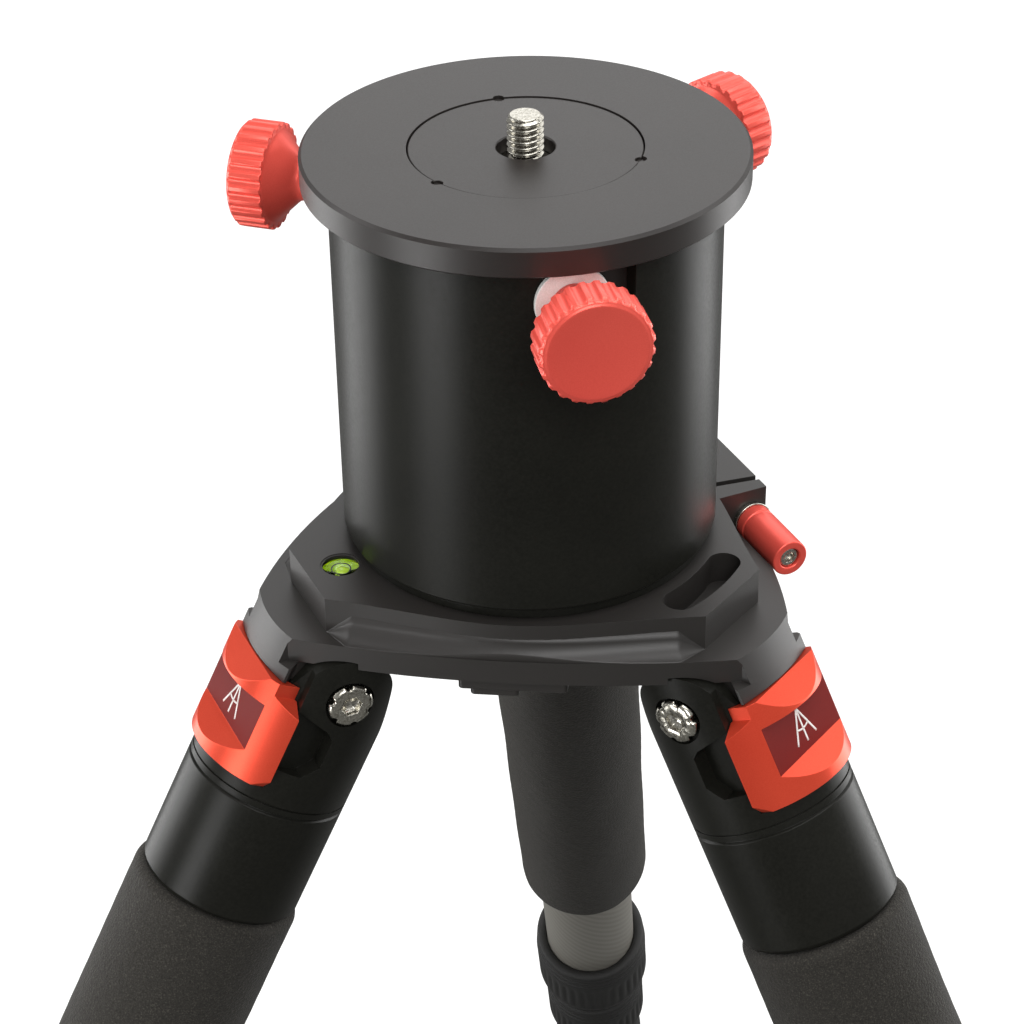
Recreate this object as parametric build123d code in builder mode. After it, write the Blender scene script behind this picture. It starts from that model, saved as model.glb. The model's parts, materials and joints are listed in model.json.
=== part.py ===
from build123d import *
import os
from math import cos, radians, sin

os.makedirs("parts", exist_ok=True)

# A short-pier tripod for a star tracker, legs at their first angle stop and drawn in.
# Origin on the floor under the pier axis, +Z up, the catch side towards -Y. Millimetres.

cut_past = 1.0

# ---- driving dimensions: head -------------------------------------------------------
plate_radius = 57.5
plate_thickness = 7.8
plate_bevel = 0.8
skirt_wall = 6.0
skirt_depth = 26.0
centre_disc_radius = 30.0
centre_disc_thickness = 4.0
centre_disc_sink = 0.25
centre_disc_bevel = 0.3
stud_radius = 9.525 / 2
stud_height = 8.6
stud_hole_radius = 7.5
stud_flange_radius = 12.0
stud_flange_thickness = 2.4
stud_bevel = 0.9
grub_radius = 1.5
grub_length = 4.0
grub_sink = 0.9
grub_first_azimuth = 109.0
seam = 0.25

# ---- driving dimensions: pier -------------------------------------------------------
tube_radius = 50.8
tube_wall = 4.0
tube_length = 100.4
pier_bevel = 0.8
neck_radius = 49.0
neck_height = 3.2
plug_depth = 12.0
spigot_radius = 37.5
spigot_wall = 5.0
turn_gap = 0.1
fit_gap = 0.05
free_gap = 0.3

# ---- driving dimensions: knobs ------------------------------------------------------
knob_drop = 17.7
knob_first_azimuth = -72.1
knob_head_radius = 14.2
knob_head_length = 9.9
knob_bevel = 1.2
knob_flutes = 24
flute_radius = 1.25
flute_offset = 0.44
knob_hub_radius = 5.5
knob_back_radius = 12.4
knob_stem_length = 9.0
knob_cone_length = 6.5
knob_screw_radius = 3.0
knob_screw_beyond = 2.0
knob_screw_bevel = 0.6
washer_radius = 9.5
washer_thickness = 1.6
notch_before = 7.4
notch_after = 19.1
notch_room = 1.0

# ---- driving dimensions: apex -------------------------------------------------------
upper_tier_height = 10.5
lower_tier_thickness = 7.0
upper_arm_reach = 65.5
upper_arm_half_width = 13.3
upper_waist_radius = 52.6
upper_shoulder_radius = 59.2
upper_shoulder_angle = 22.0
lug_root = 6.0
lower_arm_half_width = 11.6
lower_arm_reach = 76.0
lower_front_waist = 54.0
lower_side_waist = 60.5
skirt_ring_radius = 46.0
skirt_ring_depth = 4.0
pocket_radius = 57.0
pocket_half_width = 4.45
pocket_depth = 9.0
pocket_half_angle = 11.0
level_radius = 55.7
level_body_radius = 5.5
level_depth = 6.5
level_rim = 0.6
level_lens_thickness = 1.2
level_floor = 0.8
level_air = 0.4
level_sink = 0.2

# ---- driving dimensions: pier clamp and catch ---------------------------------------
clamp_azimuth = 30.0
clamp_reach = 61.5
clamp_drop = 9.5
lug_reach = 66.0
lug_front = 14.5
lug_back = 16.0
slit_azimuth = 22.0
slit_width = 2.0
slit_start = 35.0
barrel_radius = 5.25
barrel_length = 21.0
clamp_washer_radius = 5.6
clamp_washer_thickness = 1.4
clamp_screw_radius = 2.0
clamp_head_radius = 2.9
clamp_head_depth = 4.0
clamp_head_sink = 0.6
clamp_screw_grip = 10.4
clamp_relief = 0.6
barrel_bevel = 0.5
catch_width = 29.0
catch_depth = 9.0
catch_height = 5.0
catch_front = 50.5
catch_round = 1.2
button_width = 13.0
button_height = 2.8
button_offset = -5.0
button_setback = 1.5

# ---- driving dimensions: legs -------------------------------------------------------
leg_tilt = 27.58
pivot_reach = 63.2
pivot_below_tier = 11.6
shoulder_radius = 23.0
shoulder_length = 37.0
shoulder_plug = 8.0
joint_line_up = 1.6
joint_line_depth = 0.4
joint_line_width = 0.5
cheek_radius = 13.2
cheek_full_width_at = 24.0
tongue_half_width = 12.9
tongue_radius = 12.5
tongue_inner = -10.0
fork_depth = 14.5
arm_face = 20.5
arm_face_radius = 52.0
arm_face_edge = 18.0
arm_trim = 60.0
tongue_rise = 21.07
arm_flare_half_width = 15.8
arm_flare_start = 14.4
arm_flare_end = 17.2
arm_end = 0.5
bolt_radius = 4.0
bolt_head_radius = 6.2
bolt_head_thickness = 3.2
spot_radius = 6.9
spot_face = 20.2
bolt_socket_radius = 2.9
bolt_socket_depth = 2.2
bush_wall = 1.5
bush_length = 10.0
latch_radius = 25.3
latch_wall = 4.3
latch_length = 29.8
latch_wing = 12.3
latch_top_half_width = 16.6
latch_step_depth = 3.7
latch_wing_drop = 7.0
latch_wing_half_width = 20.9
latch_corner_half_width = 19.4
latch_corner_height = 6.6
latch_panel_face = 20.0
latch_panel_start = 8.3
latch_panel_end = 22.5
latch_ramp_end = 27.6
latch_crown_face = 20.8
latch_crown_length = 7.0
latch_plate_back = 15.5
latch_plate_end = 28.0
latch_plate_lap = 1.0
latch_wing_slope = 3.0
latch_guide_half_width = 9.0
latch_guide_start = 16.6
latch_guide_end = 26.8
latch_guide_back = 5.0
spring_radius = 3.2
spring_wall = 1.0
spring_length = 10.0
finger_pocket_start = 8.0
finger_pocket_end = 24.5
finger_pocket_depth = 5.0
finger_pocket_inner = 0.5
finger_pocket_run = 6.0
finger_pocket_rise = 4.0
finger_pocket_drop = 1.6
finger_pocket_corner = 2.0
finger_pocket_clip = 4.0
collar_start = 37.6
collar_end = 73.0
collar_bevel = 0.6
grip_radius = 24.4
grip_start = 73.5
grip_end = 292.4
grip_end_round = 3.0
upper_tube_radius = 18.0
middle_tube_radius = 16.0
lower_tube_radius = 14.0
tube_step_wall = 1.6
upper_tube_start = 48.0
upper_tube_end = 396.0
middle_tube_start = 70.0
middle_tube_end = 442.0
lower_tube_start = 80.0
lower_tube_end = 478.0
lock_length = 46.0
lock_upper_start = 368.5
lock_wall = 4.8
lock_gap = 2.5
lock_throat = 27.6
lock_bevel = 1.0
lock_tail = 3.0
lock_upper_groove = 7.0
lock_lower_groove = 9.0
lock_groove_width = 0.8
lock_groove_depth = 0.5
foot_start = 466.0
foot_centre = 487.0
foot_radius = 19.0
foot_bevel = 2.0

# ---- heights, from the floor up ------------------------------------------------------
tilt_cos = cos(radians(leg_tilt))
tilt_sin = sin(radians(leg_tilt))
z_pivot = foot_radius + foot_centre * tilt_cos
z_tier = z_pivot + pivot_below_tier
z_step = z_tier + lower_tier_thickness
z_apex = z_step + upper_tier_height
z_tube = z_apex + neck_height
z_tube_top = z_tube + tube_length
z_plate = z_tube_top + turn_gap
z_top = z_plate + plate_thickness
z_knob = z_top - knob_drop
z_clamp = z_apex - clamp_drop

tube_bore = tube_radius - tube_wall
skirt_radius = tube_bore - free_gap
bore_radius = spigot_radius + fit_gap
lock_radius = upper_tube_radius + lock_wall
leg_sides = {"rear": 90.0, "left": 210.0, "right": 330.0}
knob_azimuths = {"front": knob_first_azimuth, "right": knob_first_azimuth + 120,
                 "left": knob_first_azimuth + 240}


def polar(radius, azimuth):
    """Point in plan at a radius and an azimuth in degrees."""
    return (radius * cos(radians(azimuth)), radius * sin(radians(azimuth)))


def leg_frame(azimuth):
    """Plane at a leg's pivot: x out of the leg's outer face, y along the pivot bolt, z up the leg."""
    out_x, out_y = polar(1.0, azimuth)
    pivot = (pivot_reach * out_x, pivot_reach * out_y, z_pivot)
    outward = (tilt_cos * out_x, tilt_cos * out_y, tilt_sin)
    up_leg = (-tilt_sin * out_x, -tilt_sin * out_y, tilt_cos)
    return Plane(origin=pivot, x_dir=outward, z_dir=up_leg)


def side_frame(frame):
    """The same pivot seen along the bolt: x out of the leg, y up the leg."""
    return Plane(origin=frame.origin, x_dir=frame.x_dir, z_dir=-frame.y_dir)


def radial_frame(azimuth, height):
    """Plane on the pier axis whose z points outward at an azimuth, with y straight up."""
    out_x, out_y = polar(1.0, azimuth)
    return Plane(origin=(0, 0, height), x_dir=(-out_y, out_x, 0), z_dir=(out_x, out_y, 0))


def guide_frame(frame):
    """Plane through the pivot axis behind the middle of the latch's guide, facing out of the leg."""
    guide_middle = (latch_guide_start + latch_guide_end) / 2
    return Plane(origin=frame.from_local_coords((0, 0, -guide_middle)), x_dir=frame.y_dir, z_dir=frame.x_dir)


def save(piece, label):
    """Name a finished piece and write its file."""
    piece.part.label = label
    export_step(piece.part, f"parts/{label}.step")


# ======================================================================================
# Head: the round plate that the tracker stands on, turning in the top of the pier tube
# ======================================================================================
grub_circle = centre_disc_radius + seam / 2
disc_top = z_top - centre_disc_sink
disc_bottom = disc_top - centre_disc_thickness
flange_bottom = disc_bottom - stud_flange_thickness

with BuildPart() as top_plate:
    with BuildSketch(Plane.XY.offset(z_plate)):
        Circle(plate_radius)
    extrude(amount=plate_thickness)
    chamfer(top_plate.edges().group_by(Axis.Z)[-1], plate_bevel)
    chamfer(top_plate.edges().group_by(Axis.Z)[0], plate_bevel / 2)
    with BuildSketch(Plane.XY.offset(z_plate)):
        Circle(skirt_radius)
        Circle(skirt_radius - skirt_wall, mode=Mode.SUBTRACT)
    extrude(amount=-skirt_depth)
    with BuildSketch(Plane.XY.offset(z_top)):
        Circle(centre_disc_radius + seam)
    extrude(amount=-(z_top - disc_bottom), mode=Mode.SUBTRACT)
    with BuildSketch(Plane.XY.offset(disc_bottom)):
        Circle(stud_flange_radius)
    extrude(amount=-(disc_bottom - z_plate), mode=Mode.SUBTRACT)
    with BuildSketch(Plane.XY.offset(z_top)):
        with PolarLocations(grub_circle, 3, start_angle=grub_first_azimuth):
            Circle(grub_radius)
    extrude(amount=-(grub_sink + grub_length), mode=Mode.SUBTRACT)
    for azimuth in knob_azimuths.values():
        with BuildSketch(radial_frame(azimuth, z_knob).offset(skirt_radius + cut_past)):
            Circle(knob_screw_radius + fit_gap)
        extrude(amount=-(skirt_wall + cut_past * 2), mode=Mode.SUBTRACT)
save(top_plate, "top_plate")

with BuildPart() as centre_disc:
    with BuildSketch(Plane.XY.offset(disc_bottom)):
        Circle(centre_disc_radius)
        Circle(stud_hole_radius, mode=Mode.SUBTRACT)
    extrude(amount=centre_disc_thickness)
    chamfer(centre_disc.edges().group_by(Axis.Z)[-1], centre_disc_bevel)
    with BuildSketch(Plane.XY.offset(disc_top + cut_past)):
        with PolarLocations(grub_circle, 3, start_angle=grub_first_azimuth):
            Circle(grub_radius)
    extrude(amount=-(centre_disc_thickness + cut_past * 2), mode=Mode.SUBTRACT)
save(centre_disc, "centre_disc")

with BuildPart() as camera_stud:
    with BuildSketch(Plane.XY.offset(disc_bottom)):
        Circle(stud_flange_radius)
    extrude(amount=-stud_flange_thickness)
    with BuildSketch(Plane.XY.offset(flange_bottom)):
        Circle(stud_radius)
    extrude(amount=z_top + stud_height - flange_bottom)
    chamfer(camera_stud.edges().group_by(Axis.Z)[-1], stud_bevel)
save(camera_stud, "camera_stud")

with BuildPart() as disc_grub_screws:
    with BuildSketch(Plane.XY.offset(z_top - grub_sink)):
        with PolarLocations(grub_circle, 3, start_angle=grub_first_azimuth):
            Circle(grub_radius)
    extrude(amount=-grub_length)
save(disc_grub_screws, "disc_grub_screws")

# ======================================================================================
# Knobs: three clamp knobs whose screws pass through the tube's notches into the skirt
# ======================================================================================
washer_start = tube_radius + turn_gap
hub_start = washer_start + washer_thickness
head_start = hub_start + knob_stem_length + knob_cone_length
screw_start = skirt_radius - skirt_wall - knob_screw_beyond
for place, azimuth in knob_azimuths.items():
    axis_frame = radial_frame(azimuth, z_knob)

    with BuildPart() as knob:
        with BuildSketch(axis_frame.offset(hub_start)):
            Circle(knob_hub_radius)
        extrude(amount=knob_stem_length)
        with BuildSketch(axis_frame.offset(hub_start + knob_stem_length)):
            Circle(knob_hub_radius)
        with BuildSketch(axis_frame.offset(head_start)):
            Circle(knob_back_radius)
        loft()
        with BuildSketch(axis_frame.offset(head_start)):
            Circle(knob_head_radius)
        extrude(amount=knob_head_length)
        rim = knob.edges().filter_by(GeomType.CIRCLE).sort_by(Axis(axis_frame.origin, axis_frame.z_dir))
        chamfer(rim[-1], knob_bevel)
        with BuildSketch(axis_frame.offset(head_start - cut_past)):
            with PolarLocations(knob_head_radius + flute_offset, knob_flutes):
                Circle(flute_radius)
        extrude(amount=knob_head_length + cut_past * 2, mode=Mode.SUBTRACT)
        with BuildSketch(axis_frame.offset(hub_start - cut_past)):
            Circle(knob_screw_radius)
        extrude(amount=knob_stem_length + knob_cone_length + cut_past, mode=Mode.SUBTRACT)
    save(knob, f"knob_{place}")

    with BuildPart() as knob_screw:
        with BuildSketch(axis_frame.offset(screw_start)):
            Circle(knob_screw_radius)
        extrude(amount=head_start - screw_start)
        ends = knob_screw.edges().filter_by(GeomType.CIRCLE)
        chamfer(ends.sort_by(Axis(axis_frame.origin, axis_frame.z_dir))[0], knob_screw_bevel)
    save(knob_screw, f"knob_screw_{place}")

    with BuildPart() as knob_washer:
        with BuildSketch(axis_frame.offset(washer_start)):
            Circle(washer_radius)
            Circle(knob_screw_radius + fit_gap, mode=Mode.SUBTRACT)
        extrude(amount=washer_thickness)
        with BuildSketch(Plane.XY.offset(z_knob - washer_radius)):
            Circle(washer_start)
        extrude(amount=washer_radius * 2, mode=Mode.SUBTRACT)
    save(knob_washer, f"knob_washer_{place}")

# ======================================================================================
# Pier: the tall tube and the turned foot that plugs into it and seats in the apex
# ======================================================================================
notch_bottom = z_knob - knob_screw_radius - notch_room
notch_side = tube_radius * 1.2
notch_mouth = tube_radius * 1.3
with BuildPart() as pier_tube:
    with BuildSketch(Plane.XY.offset(z_tube)):
        Circle(tube_radius)
        Circle(tube_bore, mode=Mode.SUBTRACT)
    extrude(amount=tube_length)
    chamfer(pier_tube.edges().group_by(Axis.Z)[0].sort_by(SortBy.LENGTH)[-1], pier_bevel)
    with BuildSketch(Plane.XY.offset(notch_bottom)):
        for azimuth in knob_azimuths.values():
            with BuildLine():
                first = azimuth - notch_before
                last = azimuth + notch_after
                Polyline((0, 0), polar(notch_side, first), polar(notch_mouth, (first + last) / 2),
                         polar(notch_side, last), close=True)
            make_face()
    extrude(amount=z_tube_top - notch_bottom + cut_past, mode=Mode.SUBTRACT)
save(pier_tube, "pier_tube")

with BuildPart() as pier_foot:
    with BuildSketch(Plane.XY.offset(z_apex)):
        Circle(neck_radius)
    extrude(amount=neck_height)
    with BuildSketch(Plane.XY.offset(z_tube)):
        Circle(tube_bore)
    extrude(amount=plug_depth)
    with BuildSketch(Plane.XY.offset(z_apex)):
        Circle(spigot_radius)
    extrude(amount=-(z_apex - z_tier + skirt_ring_depth))
    chamfer(pier_foot.edges().group_by(Axis.Z)[0], pier_bevel)
    with BuildSketch(Plane.XY.offset(z_tube + plug_depth)):
        Circle(spigot_radius - spigot_wall)
    extrude(amount=-(plug_depth + neck_height + z_apex - z_tier), mode=Mode.SUBTRACT)
save(pier_foot, "pier_foot")

# ======================================================================================
# Apex: the stepped three-armed casting under the pier
# ======================================================================================
def arm_point(azimuth, reach, across):
    """Plan point at a reach along an arm and a distance across it."""
    along = polar(reach, azimuth)
    aside = polar(across, azimuth + 90)
    return (along[0] + aside[0], along[1] + aside[1])


def upper_outline():
    """Upper tier: square arm ends joined by smooth waisted curves."""
    for azimuth in leg_sides.values():
        following = azimuth + 120
        corner = arm_point(azimuth, upper_arm_reach, upper_arm_half_width)
        run_out = polar(upper_shoulder_radius, azimuth + upper_shoulder_angle)
        waist = polar(upper_waist_radius, azimuth + 60)
        run_in = polar(upper_shoulder_radius, following - upper_shoulder_angle)
        far_corner = arm_point(following, upper_arm_reach, -upper_arm_half_width)
        Line(arm_point(azimuth, upper_arm_reach, -upper_arm_half_width), corner)
        Spline(corner, run_out, waist, run_in, far_corner)


def lower_outline():
    """Lower tier: arms run on to the sloped end faces, with longer arcs between them."""
    run_on = lower_arm_reach + arm_face
    for azimuth in leg_sides.values():
        following = azimuth + 120
        waist = lower_front_waist if following == leg_sides["right"] else lower_side_waist
        corner = arm_point(azimuth, lower_arm_reach, lower_arm_half_width)
        next_corner = arm_point(following, lower_arm_reach, -lower_arm_half_width)
        Line(arm_point(azimuth, run_on, -lower_arm_half_width),
             arm_point(azimuth, run_on, lower_arm_half_width))
        Line(arm_point(azimuth, run_on, lower_arm_half_width), corner)
        ThreePointArc(corner, polar(waist, azimuth + 60), next_corner)
        Line(next_corner, arm_point(following, run_on, -lower_arm_half_width))


clamp_out = polar(1.0, clamp_azimuth)
clamp_along = polar(1.0, clamp_azimuth - 90)
clamp_centre = (clamp_reach * clamp_out[0], clamp_reach * clamp_out[1], z_clamp)
clamp_frame = Plane(origin=clamp_centre, x_dir=(clamp_out[0], clamp_out[1], 0),
                    z_dir=(clamp_along[0], clamp_along[1], 0))
clamp_plan = Plane(origin=(0, 0, z_apex), x_dir=(clamp_out[0], clamp_out[1], 0), z_dir=(0, 0, 1))
barrel_start = lug_front + clamp_washer_thickness
relief_radius = barrel_radius + clamp_relief
lug_inner = upper_waist_radius - lug_root
level_place = polar(level_radius, leg_sides["left"])

with BuildPart() as apex_body:
    for azimuth in leg_sides.values():
        frame = leg_frame(azimuth)
        with BuildSketch(frame.offset(-arm_end)):
            with BuildLine():
                Polyline((arm_face_edge, -arm_flare_half_width), (arm_flare_end, -arm_flare_half_width),
                         (arm_flare_start, -tongue_half_width), (0, -tongue_half_width),
                         (0, tongue_half_width), (arm_flare_start, tongue_half_width),
                         (arm_flare_end, arm_flare_half_width), (arm_face_edge, arm_flare_half_width))
                ThreePointArc((arm_face_edge, arm_flare_half_width), (arm_face, 0),
                              (arm_face_edge, -arm_flare_half_width))
            make_face()
        extrude(amount=cheek_radius)
        with BuildSketch(side_frame(frame)):
            Circle(tongue_radius)
            with Locations(((arm_flare_start + tongue_inner) / 2, tongue_rise / 2)):
                Rectangle(arm_flare_start - tongue_inner, tongue_rise)
        extrude(amount=tongue_half_width, both=True)
    split(bisect_by=Plane.XY.offset(z_tier), keep=Keep.BOTTOM)

    with BuildSketch(Plane.XY.offset(z_tier)):
        with BuildLine():
            lower_outline()
        make_face()
    extrude(amount=lower_tier_thickness)
    for azimuth in leg_sides.values():
        with BuildSketch(leg_frame(azimuth).offset(-shoulder_radius)):
            with Locations((arm_face - arm_trim / 6 + arm_trim / 2, 0)):
                Rectangle(arm_trim, arm_trim)
            with Locations((arm_face - arm_face_radius, 0)):
                Circle(arm_face_radius, mode=Mode.SUBTRACT)
        extrude(amount=shoulder_radius * 3, mode=Mode.SUBTRACT)

    with BuildSketch(Plane.XY.offset(z_step)):
        with BuildLine():
            upper_outline()
        make_face()
    extrude(amount=upper_tier_height)
    with BuildSketch(clamp_plan):
        with Locations(((lug_reach + lug_inner) / 2, (lug_back - lug_front) / 2)):
            Rectangle(lug_reach - lug_inner, lug_back + lug_front)
    extrude(amount=-(clamp_drop + barrel_radius))

    with BuildSketch(Plane.XY.offset(z_tier)):
        Circle(skirt_ring_radius)
    extrude(amount=-skirt_ring_depth)
    with BuildSketch(Plane.XY.offset(z_apex)):
        Circle(bore_radius)
    extrude(amount=-(z_apex - z_tier + skirt_ring_depth), mode=Mode.SUBTRACT)

    for azimuth in leg_sides.values():
        frame = leg_frame(azimuth)
        for side in (-1, 1):
            with BuildSketch(side_frame(frame).offset(side * tongue_half_width)):
                Circle(cheek_radius + free_gap * 2)
            extrude(amount=side * (shoulder_radius - tongue_half_width + cut_past), mode=Mode.SUBTRACT)
        with BuildSketch(side_frame(frame)):
            Circle(bolt_radius + bush_wall)
        extrude(amount=tongue_half_width, both=True, mode=Mode.SUBTRACT)

    for azimuth in (leg_sides["right"], leg_sides["rear"]):
        with BuildSketch(Plane.XY.offset(z_apex)):
            with BuildLine() as pocket_line:
                CenterArc((0, 0), pocket_radius, azimuth - pocket_half_angle, 2 * pocket_half_angle)
            trace(line_width=pocket_half_width * 2)
            with Locations(polar(pocket_radius, azimuth - pocket_half_angle),
                           polar(pocket_radius, azimuth + pocket_half_angle)):
                Circle(pocket_half_width)
        extrude(amount=-pocket_depth, mode=Mode.SUBTRACT)

    with BuildSketch(Plane.XY.offset(z_apex)):
        with Locations(level_place):
            Circle(level_body_radius)
    extrude(amount=-level_depth, mode=Mode.SUBTRACT)

    slit_plan = Plane(origin=(0, 0, z_apex), x_dir=(*polar(1.0, slit_azimuth), 0), z_dir=(0, 0, 1))
    with BuildSketch(slit_plan):
        with Locations((slit_start + lug_reach / 2, 0)):
            Rectangle(lug_reach, slit_width)
    extrude(amount=-(z_apex - z_tier + skirt_ring_depth), mode=Mode.SUBTRACT)

    with BuildSketch(clamp_frame.offset(lug_front)):
        Circle(relief_radius)
    extrude(amount=(barrel_length + clamp_washer_thickness) * 1.5, mode=Mode.SUBTRACT)
    with BuildSketch(clamp_frame.offset(-clamp_screw_grip - cut_past)):
        Circle(clamp_screw_radius)
    extrude(amount=clamp_screw_grip + lug_front + cut_past * 2, mode=Mode.SUBTRACT)
save(apex_body, "apex_body")

with BuildPart() as bubble_housing:
    with BuildSketch(Plane.XY.offset(z_apex - level_depth)):
        with Locations(level_place):
            Circle(level_body_radius)
    extrude(amount=level_depth - level_sink)
    with BuildSketch(Plane.XY.offset(z_apex)):
        with Locations(level_place):
            Circle(level_body_radius - level_rim)
    extrude(amount=-(level_depth - level_floor), mode=Mode.SUBTRACT)
save(bubble_housing, "bubble_housing")

vial_bottom = z_apex - level_depth + level_floor
vial_height = level_depth - level_floor - level_lens_thickness - level_air
with BuildPart() as bubble_vial:
    with BuildSketch(Plane.XY.offset(vial_bottom)):
        with Locations(level_place):
            Circle(level_body_radius - level_rim)
    extrude(amount=vial_height)
save(bubble_vial, "bubble_vial")

with BuildPart() as bubble_lens:
    with BuildSketch(Plane.XY.offset(vial_bottom + vial_height)):
        with Locations(level_place):
            Circle(level_body_radius - level_rim)
    extrude(amount=level_lens_thickness)
    fillet(bubble_lens.edges().group_by(Axis.Z)[-1], level_lens_thickness * 0.8)
save(bubble_lens, "bubble_lens")

# ---- pier clamp: a screw across the slit, drawn up by a plain round barrel nut --------
with BuildPart() as clamp_washer:
    with BuildSketch(clamp_frame.offset(lug_front)):
        Circle(clamp_washer_radius)
        Circle(clamp_screw_radius, mode=Mode.SUBTRACT)
    extrude(amount=clamp_washer_thickness)
save(clamp_washer, "clamp_washer")

with BuildPart() as clamp_barrel:
    with BuildSketch(clamp_frame.offset(barrel_start)):
        Circle(barrel_radius)
    extrude(amount=barrel_length)
    ends = clamp_barrel.edges().filter_by(GeomType.CIRCLE)
    chamfer(ends, barrel_bevel)
    with BuildSketch(clamp_frame.offset(barrel_start - cut_past)):
        Circle(clamp_screw_radius)
    extrude(amount=barrel_length + cut_past * 2, mode=Mode.SUBTRACT)
    with BuildSketch(clamp_frame.offset(barrel_start + barrel_length)):
        Circle(clamp_head_radius + fit_gap)
    extrude(amount=-clamp_head_depth, mode=Mode.SUBTRACT)
save(clamp_barrel, "clamp_barrel")

with BuildPart() as clamp_screw:
    head_face = barrel_start + barrel_length - clamp_head_sink
    with BuildSketch(clamp_frame.offset(-clamp_screw_grip)):
        Circle(clamp_screw_radius - fit_gap)
    extrude(amount=clamp_screw_grip + lug_front)
    with BuildSketch(clamp_frame.offset(lug_front)):
        Circle(clamp_screw_radius)
    extrude(amount=barrel_start + barrel_length - clamp_head_depth - lug_front)
    with BuildSketch(clamp_frame.offset(barrel_start + barrel_length - clamp_head_depth)):
        Circle(clamp_head_radius)
    extrude(amount=clamp_head_depth - clamp_head_sink)
    with BuildSketch(clamp_frame.offset(head_face)):
        RegularPolygon(clamp_head_radius * 0.55, 6)
    extrude(amount=-clamp_head_depth * 0.5, mode=Mode.SUBTRACT)
save(clamp_screw, "clamp_screw")

# ---- catch on the front underside: a fixed block with a sprung release under it -------
catch_bottom = z_tier - catch_height
with BuildPart() as catch_housing:
    with BuildSketch(Plane.XY.offset(catch_bottom)):
        with Locations((0, -catch_front + catch_depth / 2)):
            Rectangle(catch_width, catch_depth)
        Circle(skirt_ring_radius, mode=Mode.SUBTRACT)
    extrude(amount=catch_height)
    fillet(catch_housing.edges().filter_by(Axis.Z).sort_by(Axis.Y)[:2], catch_round)
save(catch_housing, "catch_housing")

with BuildPart() as catch_button:
    with BuildSketch(Plane.XY.offset(catch_bottom - fit_gap)):
        with Locations((button_offset, -catch_front + catch_depth / 2 + button_setback)):
            RectangleRounded(button_width, catch_depth, catch_round)
    extrude(amount=-button_height)
save(catch_button, "catch_button")


# ======================================================================================
# Leg pivots: a shouldered bolt and two bushes at each arm
# ======================================================================================
with BuildPart() as pivot_bolts:
    for azimuth in leg_sides.values():
        side_plane = side_frame(leg_frame(azimuth))
        with BuildSketch(side_plane):
            Circle(bolt_radius)
        extrude(amount=spot_face + free_gap, both=True)
        for side in (-1, 1):
            with BuildSketch(side_plane.offset(side * (spot_face + free_gap))):
                Circle(bolt_head_radius)
            extrude(amount=side * bolt_head_thickness)
            with BuildSketch(side_plane.offset(side * (spot_face + free_gap + bolt_head_thickness))):
                RegularPolygon(bolt_socket_radius, 6)
            extrude(amount=-side * bolt_socket_depth, mode=Mode.SUBTRACT)
save(pivot_bolts, "pivot_bolts")

with BuildPart() as pivot_bushes:
    for azimuth in leg_sides.values():
        for side in (-1, 1):
            with BuildSketch(side_frame(leg_frame(azimuth)).offset(side * tongue_half_width)):
                Circle(bolt_radius + bush_wall)
                Circle(bolt_radius, mode=Mode.SUBTRACT)
            extrude(amount=-side * bush_length)
save(pivot_bushes, "pivot_bushes")


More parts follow.
